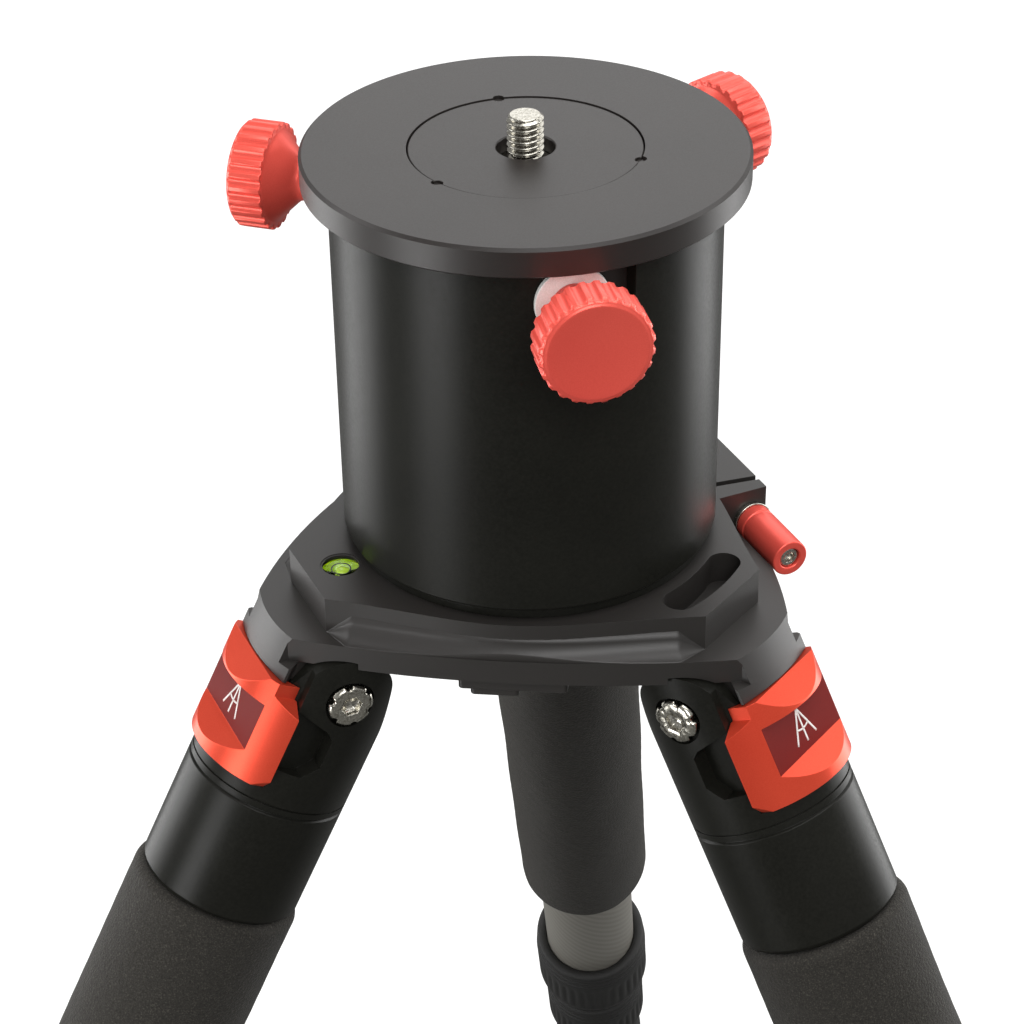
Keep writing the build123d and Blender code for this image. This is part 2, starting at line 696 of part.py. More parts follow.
# ======================================================================================
# Legs
# ======================================================================================
def make_shoulder(frame):
    """Forked leg head: two round cheeks, a round body, and the seat that the latch slides in."""
    beside = side_frame(frame)
    fork_half_width = tongue_half_width + free_gap
    seat_radius = latch_radius - latch_wall - free_gap
    with BuildPart() as shoulder:
        with BuildSketch(frame.offset(-shoulder_length)):
            Circle(shoulder_radius)
        extrude(amount=shoulder_length + cheek_radius)
        with BuildSketch(beside):
            Circle(cheek_radius)
            with Locations((0, -(shoulder_length + cheek_full_width_at) / 2)):
                Rectangle(shoulder_radius * 2, shoulder_length - cheek_full_width_at)
            make_hull()
        extrude(amount=shoulder_radius, both=True, mode=Mode.INTERSECT)
        # groove line just above the joint with the collar
        with BuildSketch(frame.offset(-shoulder_length + joint_line_up)):
            Circle(shoulder_radius + cut_past)
            Circle(shoulder_radius - joint_line_depth, mode=Mode.SUBTRACT)
        extrude(amount=joint_line_width, mode=Mode.SUBTRACT)
        # fork
        with BuildSketch(frame.offset(cheek_radius + cut_past)):
            Rectangle(shoulder_radius * 3, fork_half_width * 2)
        extrude(amount=-(cheek_radius + cut_past + fork_depth), mode=Mode.SUBTRACT)
        # seat round the outside for the latch's shell
        with BuildSketch(frame.offset(-(arm_end + latch_length + free_gap * 2))):
            with Locations((latch_wing - free_gap + shoulder_radius / 2, 0)):
                Rectangle(shoulder_radius, shoulder_radius * 3)
            Circle(seat_radius, mode=Mode.SUBTRACT)
        extrude(amount=shoulder_length + cheek_radius, mode=Mode.SUBTRACT)
        # deeper seat for the latch's flat back, and the slot for its guide
        with BuildSketch(frame.offset(-(latch_plate_end + free_gap))):
            with Locations((latch_plate_back - free_gap + shoulder_radius / 2, 0)):
                Rectangle(shoulder_radius, fork_half_width * 2)
        extrude(amount=latch_plate_end, mode=Mode.SUBTRACT)
        with BuildSketch(frame.offset(-(latch_guide_end + free_gap))):
            with Locations((latch_guide_back - free_gap + shoulder_radius / 2, 0)):
                Rectangle(shoulder_radius, (latch_guide_half_width + free_gap) * 2)
        extrude(amount=latch_guide_end - latch_guide_start + free_gap * 2, mode=Mode.SUBTRACT)
        with BuildSketch(guide_frame(frame).offset(latch_guide_back)):
            Circle(spring_radius + free_gap)
        extrude(amount=-spring_length, mode=Mode.SUBTRACT)
        # finger pockets behind the latch's wings
        pocket_far = latch_wing + finger_pocket_run
        pocket_top = -finger_pocket_start - finger_pocket_drop
        for side in (-1, 1):
            with BuildSketch(beside.offset(side * (shoulder_radius + cut_past))):
                with BuildLine():
                    Polyline((pocket_far, -finger_pocket_start + finger_pocket_rise),
                             (finger_pocket_inner + finger_pocket_corner, pocket_top),
                             (finger_pocket_inner, pocket_top - finger_pocket_corner),
                             (finger_pocket_inner, -finger_pocket_end + finger_pocket_clip),
                             (finger_pocket_inner + finger_pocket_clip, -finger_pocket_end),
                             (pocket_far, -finger_pocket_end), close=True)
                make_face()
            extrude(amount=-side * (finger_pocket_depth + cut_past), mode=Mode.SUBTRACT)
        # bolt holes and their spot faces
        with BuildSketch(beside):
            Circle(bolt_radius + fit_gap)
        extrude(amount=shoulder_radius + cut_past, both=True, mode=Mode.SUBTRACT)
        for side in (-1, 1):
            with BuildSketch(beside.offset(side * (shoulder_radius + cut_past))):
                Circle(spot_radius)
            extrude(amount=-side * (shoulder_radius + cut_past - spot_face), mode=Mode.SUBTRACT)
        # spigot that plugs into the upper tube
        with BuildSketch(frame.offset(-shoulder_length)):
            Circle(upper_tube_radius - tube_step_wall)
        extrude(amount=-(upper_tube_start + shoulder_plug - shoulder_length))
    return shoulder


def make_latch(frame):
    """Angle-stop latch: a curved shell with a flat finger panel, a flat back and a guide."""
    beside = side_frame(frame)
    top = arm_end + free_gap
    bottom = top + latch_length
    inside = latch_radius - latch_wall
    plate_face = latch_panel_face + latch_plate_lap
    beyond = latch_radius + cut_past
    with BuildPart() as latch:
        with BuildSketch(frame.offset(-bottom)):
            Circle(latch_radius)
            Circle(inside, mode=Mode.SUBTRACT)
            with Locations((latch_wing - latch_radius, 0)):
                Rectangle(latch_radius * 2, latch_radius * 3, mode=Mode.SUBTRACT)
        extrude(amount=latch_length)
        with BuildSketch(frame.offset(-latch_plate_end)):
            with Locations(((latch_plate_back + plate_face) / 2, 0)):
                Rectangle(plate_face - latch_plate_back, tongue_half_width * 2)
        extrude(amount=latch_plate_end - top)
        with BuildSketch(frame.offset(-latch_guide_end)):
            with Locations(((latch_guide_back + latch_plate_back) / 2, 0)):
                Rectangle(latch_plate_back - latch_guide_back, latch_guide_half_width * 2)
        extrude(amount=latch_guide_end - latch_guide_start)
        # front outline: stepped top corners, wings, clipped lower corners
        outside = Plane(origin=frame.origin, x_dir=frame.y_dir, z_dir=frame.x_dir)
        with BuildSketch(outside.offset(latch_guide_back - cut_past)):
            with BuildLine():
                Polyline((latch_top_half_width, -top),
                         (latch_top_half_width, -top - latch_step_depth),
                         (latch_wing_half_width, -latch_wing_drop),
                         (latch_radius, -latch_wing_drop - latch_wing_slope),
                         (latch_radius, -bottom + latch_corner_height),
                         (latch_corner_half_width, -bottom),
                         (-latch_corner_half_width, -bottom),
                         (-latch_radius, -bottom + latch_corner_height),
                         (-latch_radius, -latch_wing_drop - latch_wing_slope),
                         (-latch_wing_half_width, -latch_wing_drop),
                         (-latch_top_half_width, -top - latch_step_depth),
                         (-latch_top_half_width, -top), close=True)
            make_face()
        extrude(amount=latch_radius, mode=Mode.INTERSECT)
        # crown bevel, flat panel and finger ramp, cut from the side
        with BuildSketch(beside):
            with BuildLine():
                Polyline((latch_crown_face, -top + cut_past), (latch_crown_face, -top),
                         (latch_radius, -top - latch_crown_length), (beyond, -top - latch_crown_length),
                         (beyond, -top + cut_past), close=True)
            make_face()
        extrude(amount=latch_radius, both=True, mode=Mode.SUBTRACT)
        with BuildSketch(beside):
            with BuildLine():
                Polyline((beyond, -latch_panel_start), (latch_panel_face, -latch_panel_start),
                         (latch_panel_face, -latch_panel_end), (latch_radius, -latch_ramp_end),
                         (beyond, -latch_ramp_end), close=True)
            make_face()
        extrude(amount=latch_radius, both=True, mode=Mode.SUBTRACT)
    return latch


def make_sleeve(frame, start, end, outer, inner):
    """Round sleeve about the leg's axis between two distances below the pivot."""
    with BuildPart() as sleeve:
        with BuildSketch(frame.offset(-end)):
            Circle(outer)
            Circle(inner, mode=Mode.SUBTRACT)
        extrude(amount=end - start)
    return sleeve


def make_turned(frame, outline):
    """Turned piece about the leg's axis from (distance below the pivot, radius) corners."""
    with BuildPart() as turned:
        with BuildSketch(side_frame(frame)):
            with BuildLine():
                Polyline([(radius, -station) for station, radius in outline], close=True)
            make_face()
        revolve(axis=Axis(frame.origin, frame.z_dir))
    return turned


def lock_outline(start, upper_bore, lower_bore, outer):
    """Twist lock: a grip with two line grooves and a tapered tail."""
    end = start + lock_length
    throat = start + lock_throat
    floor = outer - lock_groove_depth
    upper_groove = start + lock_upper_groove
    lower_groove = end - lock_lower_groove
    return [(start, upper_bore), (start, outer - lock_bevel), (start + lock_bevel, outer),
            (upper_groove, outer), (upper_groove, floor), (upper_groove + lock_groove_width, floor),
            (upper_groove + lock_groove_width, outer), (lower_groove, outer), (lower_groove, floor),
            (lower_groove + lock_groove_width, floor), (lower_groove + lock_groove_width, outer),
            (end - lock_tail, outer), (end, outer - lock_tail), (end, lower_bore), (throat, lower_bore),
            (throat, upper_bore)]


lock_lower_start = lock_upper_start + lock_length + lock_gap
for side_name, azimuth in leg_sides.items():
    frame = leg_frame(azimuth)
    save(make_shoulder(frame), f"shoulder_{side_name}")
    save(make_latch(frame), f"latch_{side_name}")

    with BuildPart() as latch_spring:
        with BuildSketch(guide_frame(frame).offset(latch_guide_back - spring_length)):
            Circle(spring_radius)
            Circle(spring_radius - spring_wall, mode=Mode.SUBTRACT)
        extrude(amount=spring_length - fit_gap)
    save(latch_spring, f"latch_spring_{side_name}")

    collar = make_turned(frame, [(shoulder_length, upper_tube_radius - tube_step_wall),
                                 (shoulder_length, shoulder_radius - collar_bevel),
                                 (collar_start, shoulder_radius - collar_bevel),
                                 (collar_start + collar_bevel, shoulder_radius),
                                 (collar_end - collar_bevel, shoulder_radius),
                                 (collar_end, shoulder_radius - collar_bevel),
                                 (collar_end, upper_tube_radius),
                                 (upper_tube_start, upper_tube_radius),
                                 (upper_tube_start, upper_tube_radius - tube_step_wall)])
    save(collar, f"collar_{side_name}")

    upper_tube = make_sleeve(frame, upper_tube_start, upper_tube_end, upper_tube_radius,
                             upper_tube_radius - tube_step_wall)
    save(upper_tube, f"upper_tube_{side_name}")

    with BuildPart() as foam_grip:
        with BuildSketch(frame.offset(-grip_end)):
            Circle(grip_radius)
        extrude(amount=grip_end - grip_start)
        fillet(foam_grip.edges().filter_by(GeomType.CIRCLE), grip_end_round)
        with BuildSketch(frame.offset(-grip_end - cut_past)):
            Circle(upper_tube_radius)
        extrude(amount=grip_end - grip_start + cut_past * 2, mode=Mode.SUBTRACT)
    save(foam_grip, f"foam_grip_{side_name}")

    lock_upper = make_turned(frame, lock_outline(lock_upper_start, upper_tube_radius + free_gap,
                                                 middle_tube_radius + free_gap, lock_radius))
    save(lock_upper, f"lock_upper_{side_name}")

    middle_tube = make_sleeve(frame, middle_tube_start, middle_tube_end, middle_tube_radius,
                              middle_tube_radius - tube_step_wall)
    save(middle_tube, f"middle_tube_{side_name}")

    lock_lower = make_turned(frame, lock_outline(lock_lower_start, middle_tube_radius + free_gap,
                                                 lower_tube_radius + free_gap,
                                                 middle_tube_radius + lock_wall))
    save(lock_lower, f"lock_lower_{side_name}")

    lower_tube = make_sleeve(frame, lower_tube_start, lower_tube_end, lower_tube_radius,
                             lower_tube_radius - tube_step_wall)
    save(lower_tube, f"lower_tube_{side_name}")

    with BuildPart() as foot:
        with BuildSketch(side_frame(frame)):
            with BuildLine():
                ball = CenterArc((0, -foot_centre), foot_radius, -90, 90)
                Polyline(ball @ 1, (foot_radius, -foot_start - foot_bevel),
                         (foot_radius - foot_bevel, -foot_start),
                         (lower_tube_radius, -foot_start), (lower_tube_radius, -lower_tube_end),
                         (0, -lower_tube_end), ball @ 0)
            make_face()
        revolve(axis=Axis(frame.origin, frame.z_dir))
    save(foot, f"foot_{side_name}")
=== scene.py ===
import json

import bmesh
import bpy
import numpy as np
from mathutils import Matrix, Vector


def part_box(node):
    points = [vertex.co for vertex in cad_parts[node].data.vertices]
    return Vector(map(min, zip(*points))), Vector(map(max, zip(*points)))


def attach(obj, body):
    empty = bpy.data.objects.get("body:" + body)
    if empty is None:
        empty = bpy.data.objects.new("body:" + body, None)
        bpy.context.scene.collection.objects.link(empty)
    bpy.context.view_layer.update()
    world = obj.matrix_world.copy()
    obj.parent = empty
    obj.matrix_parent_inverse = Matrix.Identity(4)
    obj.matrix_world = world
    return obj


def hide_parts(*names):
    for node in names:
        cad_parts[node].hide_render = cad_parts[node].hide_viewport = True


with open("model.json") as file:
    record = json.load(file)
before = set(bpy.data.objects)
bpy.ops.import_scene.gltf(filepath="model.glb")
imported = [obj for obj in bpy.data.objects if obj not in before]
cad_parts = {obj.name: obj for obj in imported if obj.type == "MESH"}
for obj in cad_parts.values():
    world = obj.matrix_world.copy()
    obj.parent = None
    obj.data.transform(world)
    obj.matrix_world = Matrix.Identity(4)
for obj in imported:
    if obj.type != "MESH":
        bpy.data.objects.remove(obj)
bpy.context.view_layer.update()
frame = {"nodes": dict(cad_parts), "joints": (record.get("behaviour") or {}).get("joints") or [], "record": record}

MM = 0.001
NODES = frame["nodes"]
JOINTS = {joint["name"]: joint for joint in frame["joints"]}
SIDES = ("rear", "left", "right")
KNOBS = ("front", "right", "left")
COVES = (("front", 221, 319), ("left", 101, 199), ("behind_clamp", 408, 439))  # first and last azimuth
TIER_RISE = 10.5  # the apex's upper tier stands this far above the lower one, in millimetres
CLAMP_BORE = 2.05
CLAMP_HEAD_SINK = 4.0
PLATE_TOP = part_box("top_plate")[1].z / MM
BODY_OF = {node: body for body, members in frame["record"]["behaviour"]["bodies"].items() for node in members}


# ---- colours, nodes and materials ----------------------------------------------------
def colour(hex_code, alpha=1.0):
    """An sRGB hex value as linear light."""
    srgb = np.array([int(hex_code[i:i + 2], 16) / 255 for i in (1, 3, 5)])
    linear = np.where(srgb <= 0.04045, srgb / 12.92, ((srgb + 0.055) / 1.055) ** 2.4)
    return (*linear, alpha)


def add(tree, kind, settings=None, links=None):
    """A node of that kind. Settings go to its sockets by name or number, else to its own properties."""
    node = tree.nodes.new(kind)
    for key, value in (settings or {}).items():
        if isinstance(key, int) or key in node.inputs:
            node.inputs[key].default_value = value
        else:
            setattr(node, key, value)
    for key, source in (links or {}).items():
        tree.links.new(source, node.inputs[key])
    return node


def new_material(name, **surface):
    """An empty material with one Principled surface: returns (material, node tree, surface node)."""
    material = bpy.data.materials.new(name)
    material.use_nodes = True
    tree = material.node_tree
    tree.nodes.clear()
    shader = add(tree, "ShaderNodeBsdfPrincipled",
                 {key.replace("_", " "): value for key, value in surface.items()})
    add(tree, "ShaderNodeOutputMaterial", links={"Surface": shader.outputs[0]})
    return material, tree, shader


def ramp(tree, source, stops):
    """A colour ramp from (position, colour) stops."""
    node = add(tree, "ShaderNodeValToRGB", links={"Fac": source})
    elements = node.color_ramp.elements
    while len(elements) < len(stops):
        elements.new(0.5)
    for element, (position, value) in zip(elements, stops):
        element.position = position
        element.color = value
    return node.outputs["Color"]


def blasted(name, body, worn, grit_mm, roughness, bump, **surface):
    """Bead-blasted anodised aluminium: a fine pebbled grain breaks the highlight up, and a slow
    cloud of slightly lighter dye, 35 mm across, keeps large faces from looking printed."""
    material, tree, shader = new_material(name, **surface)
    where = add(tree, "ShaderNodeTexCoord").outputs["Object"]
    grain = add(tree, "ShaderNodeTexNoise", {"Scale": 1 / (grit_mm * MM), "Detail": 3.0, "Roughness": 0.6},
                {"Vector": where})
    cloud = add(tree, "ShaderNodeTexNoise", {"Scale": 1 / (35 * MM), "Detail": 2.0}, {"Vector": where})
    slow = add(tree, "ShaderNodeMath", {"operation": "MULTIPLY", 1: 0.45}, {0: cloud.outputs["Fac"]})
    both = add(tree, "ShaderNodeMath", {"operation": "MULTIPLY_ADD", 1: 0.55},
               {0: grain.outputs["Fac"], 2: slow.outputs[0]})
    tree.links.new(ramp(tree, both.outputs[0], [(0.3, colour(body)), (0.72, colour(worn))]),
                   shader.inputs["Base Color"])
    rough = add(tree, "ShaderNodeMapRange", {"From Min": 0.3, "From Max": 0.7, "To Min": roughness - 0.05,
                                             "To Max": roughness + 0.05}, {"Value": grain.outputs["Fac"]})
    tree.links.new(rough.outputs["Result"], shader.inputs["Roughness"])
    relief = add(tree, "ShaderNodeBump", {"Strength": bump, "Distance": 0.02 * MM},
                 {"Height": grain.outputs["Fac"]})
    tree.links.new(relief.outputs["Normal"], shader.inputs["Normal"])
    return material


def turned_metal(name, light, dark, roughness, **surface):
    """Turned and plated metal: faint concentric tool lines read as a soft streak in the highlight."""
    material, tree, shader = new_material(name, Metallic=1.0, **surface)
    where = add(tree, "ShaderNodeTexCoord").outputs["Object"]
    streak = add(tree, "ShaderNodeTexNoise", {"Scale": 1 / (0.6 * MM), "Detail": 4.0}, {"Vector": where})
    tree.links.new(ramp(tree, streak.outputs["Fac"], [(0.35, colour(dark)), (0.65, colour(light))]),
                   shader.inputs["Base Color"])
    rough = add(tree, "ShaderNodeMapRange", {"From Min": 0.3, "From Max": 0.7, "To Min": roughness * 0.7,
                                             "To Max": roughness * 1.3}, {"Value": streak.outputs["Fac"]})
    tree.links.new(rough.outputs["Result"], shader.inputs["Roughness"])
    return material


def foam(name):
    """Closed-cell EVA foam, skived: matt charcoal with fine open cells that catch pale specks."""
    material, tree, shader = new_material(name, Specular_IOR_Level=0.2, Sheen_Weight=0.06,
                                          Sheen_Roughness=0.5)
    where = add(tree, "ShaderNodeTexCoord").outputs["Object"]
    cells = add(tree, "ShaderNodeTexVoronoi", {"Scale": 1 / (0.9 * MM)}, {"Vector": where})
    fine = add(tree, "ShaderNodeTexNoise", {"Scale": 1 / (0.45 * MM), "Detail": 4.0, "Roughness": 0.7},
               {"Vector": where})
    tone = ramp(tree, fine.outputs["Fac"], [(0.3, colour("#1d1b19")), (0.55, colour("#2f2d29")),
                                            (0.75, colour("#56524b"))])
    tree.links.new(tone, shader.inputs["Base Color"])
    shader.inputs["Roughness"].default_value = 0.85
    pits = add(tree, "ShaderNodeMath", {"operation": "ADD"},
               {0: cells.outputs["Distance"], 1: fine.outputs["Fac"]})
    relief = add(tree, "ShaderNodeBump", {"Strength": 0.7, "Distance": 0.25 * MM},
                 {"Height": pits.outputs[0]})
    tree.links.new(relief.outputs["Normal"], shader.inputs["Normal"])
    return material


def carbon(name):
    """Wound carbon tube rubbed satin: a 1.2 mm twill drawn from the tube's own map, its dark and light
    tows so close in tone that only the edge light finds them."""
    material, tree, shader = new_material(name, Coat_Weight=0.2, Coat_Roughness=0.4)
    unrolled = add(tree, "ShaderNodeUVMap").outputs["UV"]
    across = add(tree, "ShaderNodeSeparateXYZ", links={0: unrolled})
    tow = 1.2 * MM
    warp = add(tree, "ShaderNodeMath", {"operation": "ADD"},
               {0: across.outputs["X"], 1: across.outputs["Y"]})
    turn = add(tree, "ShaderNodeMath", {"operation": "MULTIPLY", 1: 2 * np.pi / (4 * tow)},
               {0: warp.outputs[0]})
    wave = add(tree, "ShaderNodeMath", {"operation": "SINE"}, {0: turn.outputs[0]})
    hoop = add(tree, "ShaderNodeMath", {"operation": "MULTIPLY", 1: 2 * np.pi / tow},
               {0: across.outputs["Y"]})
    ribs = add(tree, "ShaderNodeMath", {"operation": "SINE"}, {0: hoop.outputs[0]})
    rib_share = 0.3
    mixed = add(tree, "ShaderNodeMath", {"operation": "MULTIPLY_ADD", 1: rib_share},
                {0: ribs.outputs[0], 2: wave.outputs[0]})
    even = add(tree, "ShaderNodeMapRange", {"From Min": -1 - rib_share, "From Max": 1 + rib_share},
               {"Value": mixed.outputs[0]})
    tone = ramp(tree, even.outputs["Result"], [(0.25, colour("#7f7c75")), (0.75, colour("#8b8880"))])
    tree.links.new(tone, shader.inputs["Base Color"])
    shader.inputs["Roughness"].default_value = 0.38
    shader.inputs["Metallic"].default_value = 0.35
    return material


def moulded(name, shade, light, roughness, grain_mm, bump, **surface):
    """Moulded rubber or nylon: an even body colour with a slight spark-eroded grain."""
    material, tree, shader = new_material(name, **surface)
    where = add(tree, "ShaderNodeTexCoord").outputs["Object"]
    grain = add(tree, "ShaderNodeTexNoise", {"Scale": 1 / (grain_mm * MM), "Detail": 3.0}, {"Vector": where})
    tree.links.new(ramp(tree, grain.outputs["Fac"], [(0.3, colour(shade)), (0.7, colour(light))]),
                   shader.inputs["Base Color"])
    shader.inputs["Roughness"].default_value = roughness
    relief = add(tree, "ShaderNodeBump", {"Strength": bump, "Distance": 0.1 * MM},
                 {"Height": grain.outputs["Fac"]})
    tree.links.new(relief.outputs["Normal"], shader.inputs["Normal"])
    return material


def clear(name):
    """Clear moulded acrylic wet with spirit on its inside, so it hardly bends what lies below it."""
    material, tree, shader = new_material(name, Transmission_Weight=1.0, IOR=1.12, Roughness=0.03,
                                          Specular_IOR_Level=0.15)
    where = add(tree, "ShaderNodeTexCoord").outputs["Object"]
    haze = add(tree, "ShaderNodeTexNoise", {"Scale": 1 / (1.5 * MM)}, {"Vector": where})
    tree.links.new(ramp(tree, haze.outputs["Fac"], [(0.3, colour("#f4fff0")), (0.7, colour("#ffffff"))]),
                   shader.inputs["Base Color"])
    return material


FINISHES = {
    # satin black anodise on the turned plate: warm, almost brown, and it holds a broad pale sheen
    "black_plate": blasted("black_anodised_plate", "#211d1b", "#292422", 0.35, 0.42, 0.25,
                           Specular_IOR_Level=0.5),
    # coarser blast under a deeper black on the tubes, shoulders and collars: dark, with bright edges
    "black_tube": blasted("black_anodised_tube", "#141411", "#1f1f1b", 0.9, 0.34, 0.35,
                          Specular_IOR_Level=0.15),
    # milled castings: a greyer black whose flat faces each take their own even tone
    "black_casting": blasted("black_anodised_casting", "#242220", "#2c2927", 0.3, 0.45, 0.25,
                             Specular_IOR_Level=0.55),
    # red anodise on the knobs and the clamp barrel: pinkish, bright and satin
    "red": blasted("red_satin_anodise", "#f3564a", "#ff6859", 0.3, 0.34, 0.2, Metallic=0.4),
    # orange-red anodise on the latches, more metallic, so its facets differ
    "red_latch": blasted("red_latch_anodise", "#e2452d", "#ee563b", 0.3, 0.33, 0.15, Metallic=0.6),
    # the latch's milled panel: dark maroon with hardly any shine
    "maroon": blasted("maroon_milled_panel", "#641613", "#731d19", 0.5, 0.5, 0.2,
                      Specular_IOR_Level=0.05),
    "steel": turned_metal("nickel_plated_steel", "#cfccc2", "#9f9b90", 0.22),
    "mark": moulded("white_filled_mark", "#d9d5d0", "#f2efec", 0.5, 0.4, 0.1),
    "foam": foam("eva_foam"),
    "carbon": carbon("carbon_twill_tube"),
    "nylon": moulded("white_nylon_washer", "#d9d9d3", "#ececea", 0.4, 0.3, 0.1),
    "rubber": moulded("moulded_rubber_foot", "#121211", "#1c1b1a", 0.7, 0.5, 0.3),
    "bronze": turned_metal("sintered_bronze", "#a9793f", "#7d5526", 0.4),
    # dyed spirit, its bubble and the printed ring: lime green, wet and clear-edged
    "liquid": moulded("lime_spirit", "#9fc400", "#b9e000", 0.15, 2.0, 0.0, Coat_Weight=1.0,
                      Coat_Roughness=0.03),
    "air": moulded("bubble_of_air", "#c6ea3a", "#d4f25c", 0.08, 2.0, 0.0, Coat_Weight=1.0,
                   Coat_Roughness=0.02),
    "ink": moulded("black_ring_ink", "#10120a", "#191c10", 0.3, 0.5, 0.0),
    "lens": clear("clear_acrylic_lens"),
}


# ---- surfaces ---------------------------------------------------------------------------
class Place:
    """Where a piece lies: an origin with an along direction, an outward direction and a sideways one,
    all in the frame's millimetres."""

    def __init__(self, origin, along, outward):
        self.origin = np.array(origin, float)
        self.along = np.array(along, float) / np.linalg.norm(along)
        out = np.array(outward, float) - np.dot(outward, self.along) * self.along
        self.out = out / np.linalg.norm(out)
        self.side = np.cross(self.along, self.out)

    def points(self, station, out, side):
        """Origin plus station, out and side distances carried along their directions."""
        stacked = (station[..., None] * self.along + out[..., None] * self.out + side[..., None] * self.side)
        return (self.origin + stacked) * MM

    def span(self, node, within=np.inf):
        """Lowest and highest station of a CAD node and its smallest and largest radius about this
        place's line, counting only points at most that far from the place's origin."""
        mesh = NODES[node].data
        flat = np.empty(len(mesh.vertices) * 3, np.float32)
        mesh.vertices.foreach_get("co", flat)
        away = flat.reshape(-1, 3) / MM - self.origin
        away = away[np.linalg.norm(away, axis=1) < within]
        station = away @ self.along
        radius = np.linalg.norm(away - station[:, None] * self.along, axis=1)
        return station.min(), station.max(), radius.min(), radius.max()


def grid_piece(name, points, finish, wrap=True, uv=None):
    """A surface from an array of points, rows by columns, closed round the columns where wrap says.
    Each cell between two rows and two columns is one four-sided face."""
    levels, columns = points.shape[:2]
    mesh = bpy.data.meshes.new(name)
    row, column = np.meshgrid(np.arange(levels - 1), np.arange(columns if wrap else columns - 1),
                              indexing="ij")
    following = (column + 1) % columns
    corners = np.stack([row * columns + column, row * columns + following,
                        (row + 1) * columns + following, (row + 1) * columns + column], -1).reshape(-1, 4)
    mesh.vertices.add(levels * columns)
    mesh.vertices.foreach_set("co", points.astype(np.float32).ravel())
    mesh.loops.add(corners.size)
    mesh.loops.foreach_set("vertex_index", corners.astype(np.int32).ravel())
    mesh.polygons.add(len(corners))
    mesh.polygons.foreach_set("loop_start", np.arange(0, corners.size, 4, dtype=np.int32))
    mesh.polygons.foreach_set("use_smooth", np.ones(len(corners), bool))
    if uv is not None:
        layer = mesh.uv_layers.new(name="unrolled")
        u = np.stack([uv[0][column], uv[0][column + 1], uv[0][column + 1], uv[0][column]], -1)
        v = np.stack([uv[1][row], uv[1][row], uv[1][row + 1], uv[1][row + 1]], -1)
        layer.data.foreach_set("uv", np.stack([u, v], -1).astype(np.float32).ravel())
    mesh.update()
    mesh.validate()
    work = bmesh.new()
    work.from_mesh(mesh)
    bmesh.ops.remove_doubles(work, verts=work.verts, dist=1e-6)
    bmesh.ops.recalc_face_normals(work, faces=work.faces)
    work.to_mesh(mesh)
    work.free()
    piece = bpy.data.objects.new(name, mesh)
    bpy.context.scene.collection.objects.link(piece)
    mesh.materials.append(FINISHES[finish])
    return piece


def rounded(corners, radius, steps=5):
    """A closed profile of (station, radius) corners with every corner eased by an arc of up to that
    radius: the arc's ends lie on the two sides, and it follows the circle that touches both."""
    corners = np.array(corners, float)
    eased = []
    for index in range(len(corners)):
        here = corners[index]
        before = corners[index - 1] - here
        after = corners[(index + 1) % len(corners)] - here
        reach = min(np.linalg.norm(before), np.linalg.norm(after)) * 0.45
        before = before / np.linalg.norm(before)
        after = after / np.linalg.norm(after)
        half = np.arccos(np.clip(before @ after, -1, 1)) / 2
        on_axis, nearly_straight = here[1] < 1e-6, half > 1.5
        if on_axis or nearly_straight:
            eased.append(here[None])
            continue
        cut = min(radius / np.tan(half), reach)
        centre = here + (before + after) / np.linalg.norm(before + after) * cut / np.cos(half)
        start, end = here + before * cut, here + after * cut
        share = np.linspace(0, 1, steps)[:, None]
        chord = start * (1 - share) + end * share - centre
        arc = centre + chord / np.linalg.norm(chord, axis=1)[:, None] * np.linalg.norm(start - centre)
        hold = min(cut * 0.5, reach - cut) if reach > cut else 0
        eased.append(np.vstack([start + before * hold, arc, end + after * hold]))
    return np.vstack(eased)


def stand_for(piece, body, *nodes):
    """The piece rides on a body and stands for the CAD nodes named."""
    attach(piece, body)
    if nodes:
        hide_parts(*nodes)
    return piece


def turned(name, place, corners, finish, body, *nodes, ease=0.35, columns=160):
    """A turned piece: the eased profile carried round the place's line. A point of the profile at
    (station, radius) goes to station along the line and to radius times the cosine and sine round it."""
    profile = rounded(corners, ease)
    profile = np.vstack([profile, profile[:1]])
    angle = column_angles(columns)
    station = np.repeat(profile[:, :1], columns, 1)
    out = profile[:, 1:] * np.cos(angle)
    side = profile[:, 1:] * np.sin(angle)
    length = np.concatenate([[0], np.cumsum(np.linalg.norm(np.diff(profile, axis=0), axis=1))]) * MM
    round_about = np.linspace(0, 2 * np.pi * profile[:, 1].max(), columns + 1) * MM
    piece = grid_piece(name, place.points(station, out, side), finish, uv=(round_about, length))
    return stand_for(piece, body, *nodes)


def round_piece(name, place, station, radius, finish, body, *nodes):
    """A piece about a place's line from two arrays, rows by columns: station along the line and
    radius from it. A point is station along the line, then radius times cosine and sine round it."""
    angle = column_angles(radius.shape[1])
    station = np.broadcast_to(station, radius.shape)
    piece = grid_piece(name, place.points(station, radius * np.cos(angle), radius * np.sin(angle)), finish)
    return stand_for(piece, body, *nodes)


def column_angles(columns):
    """Equal angles round a line, in radians."""
    return np.linspace(0, 2 * np.pi, columns, endpoint=False)


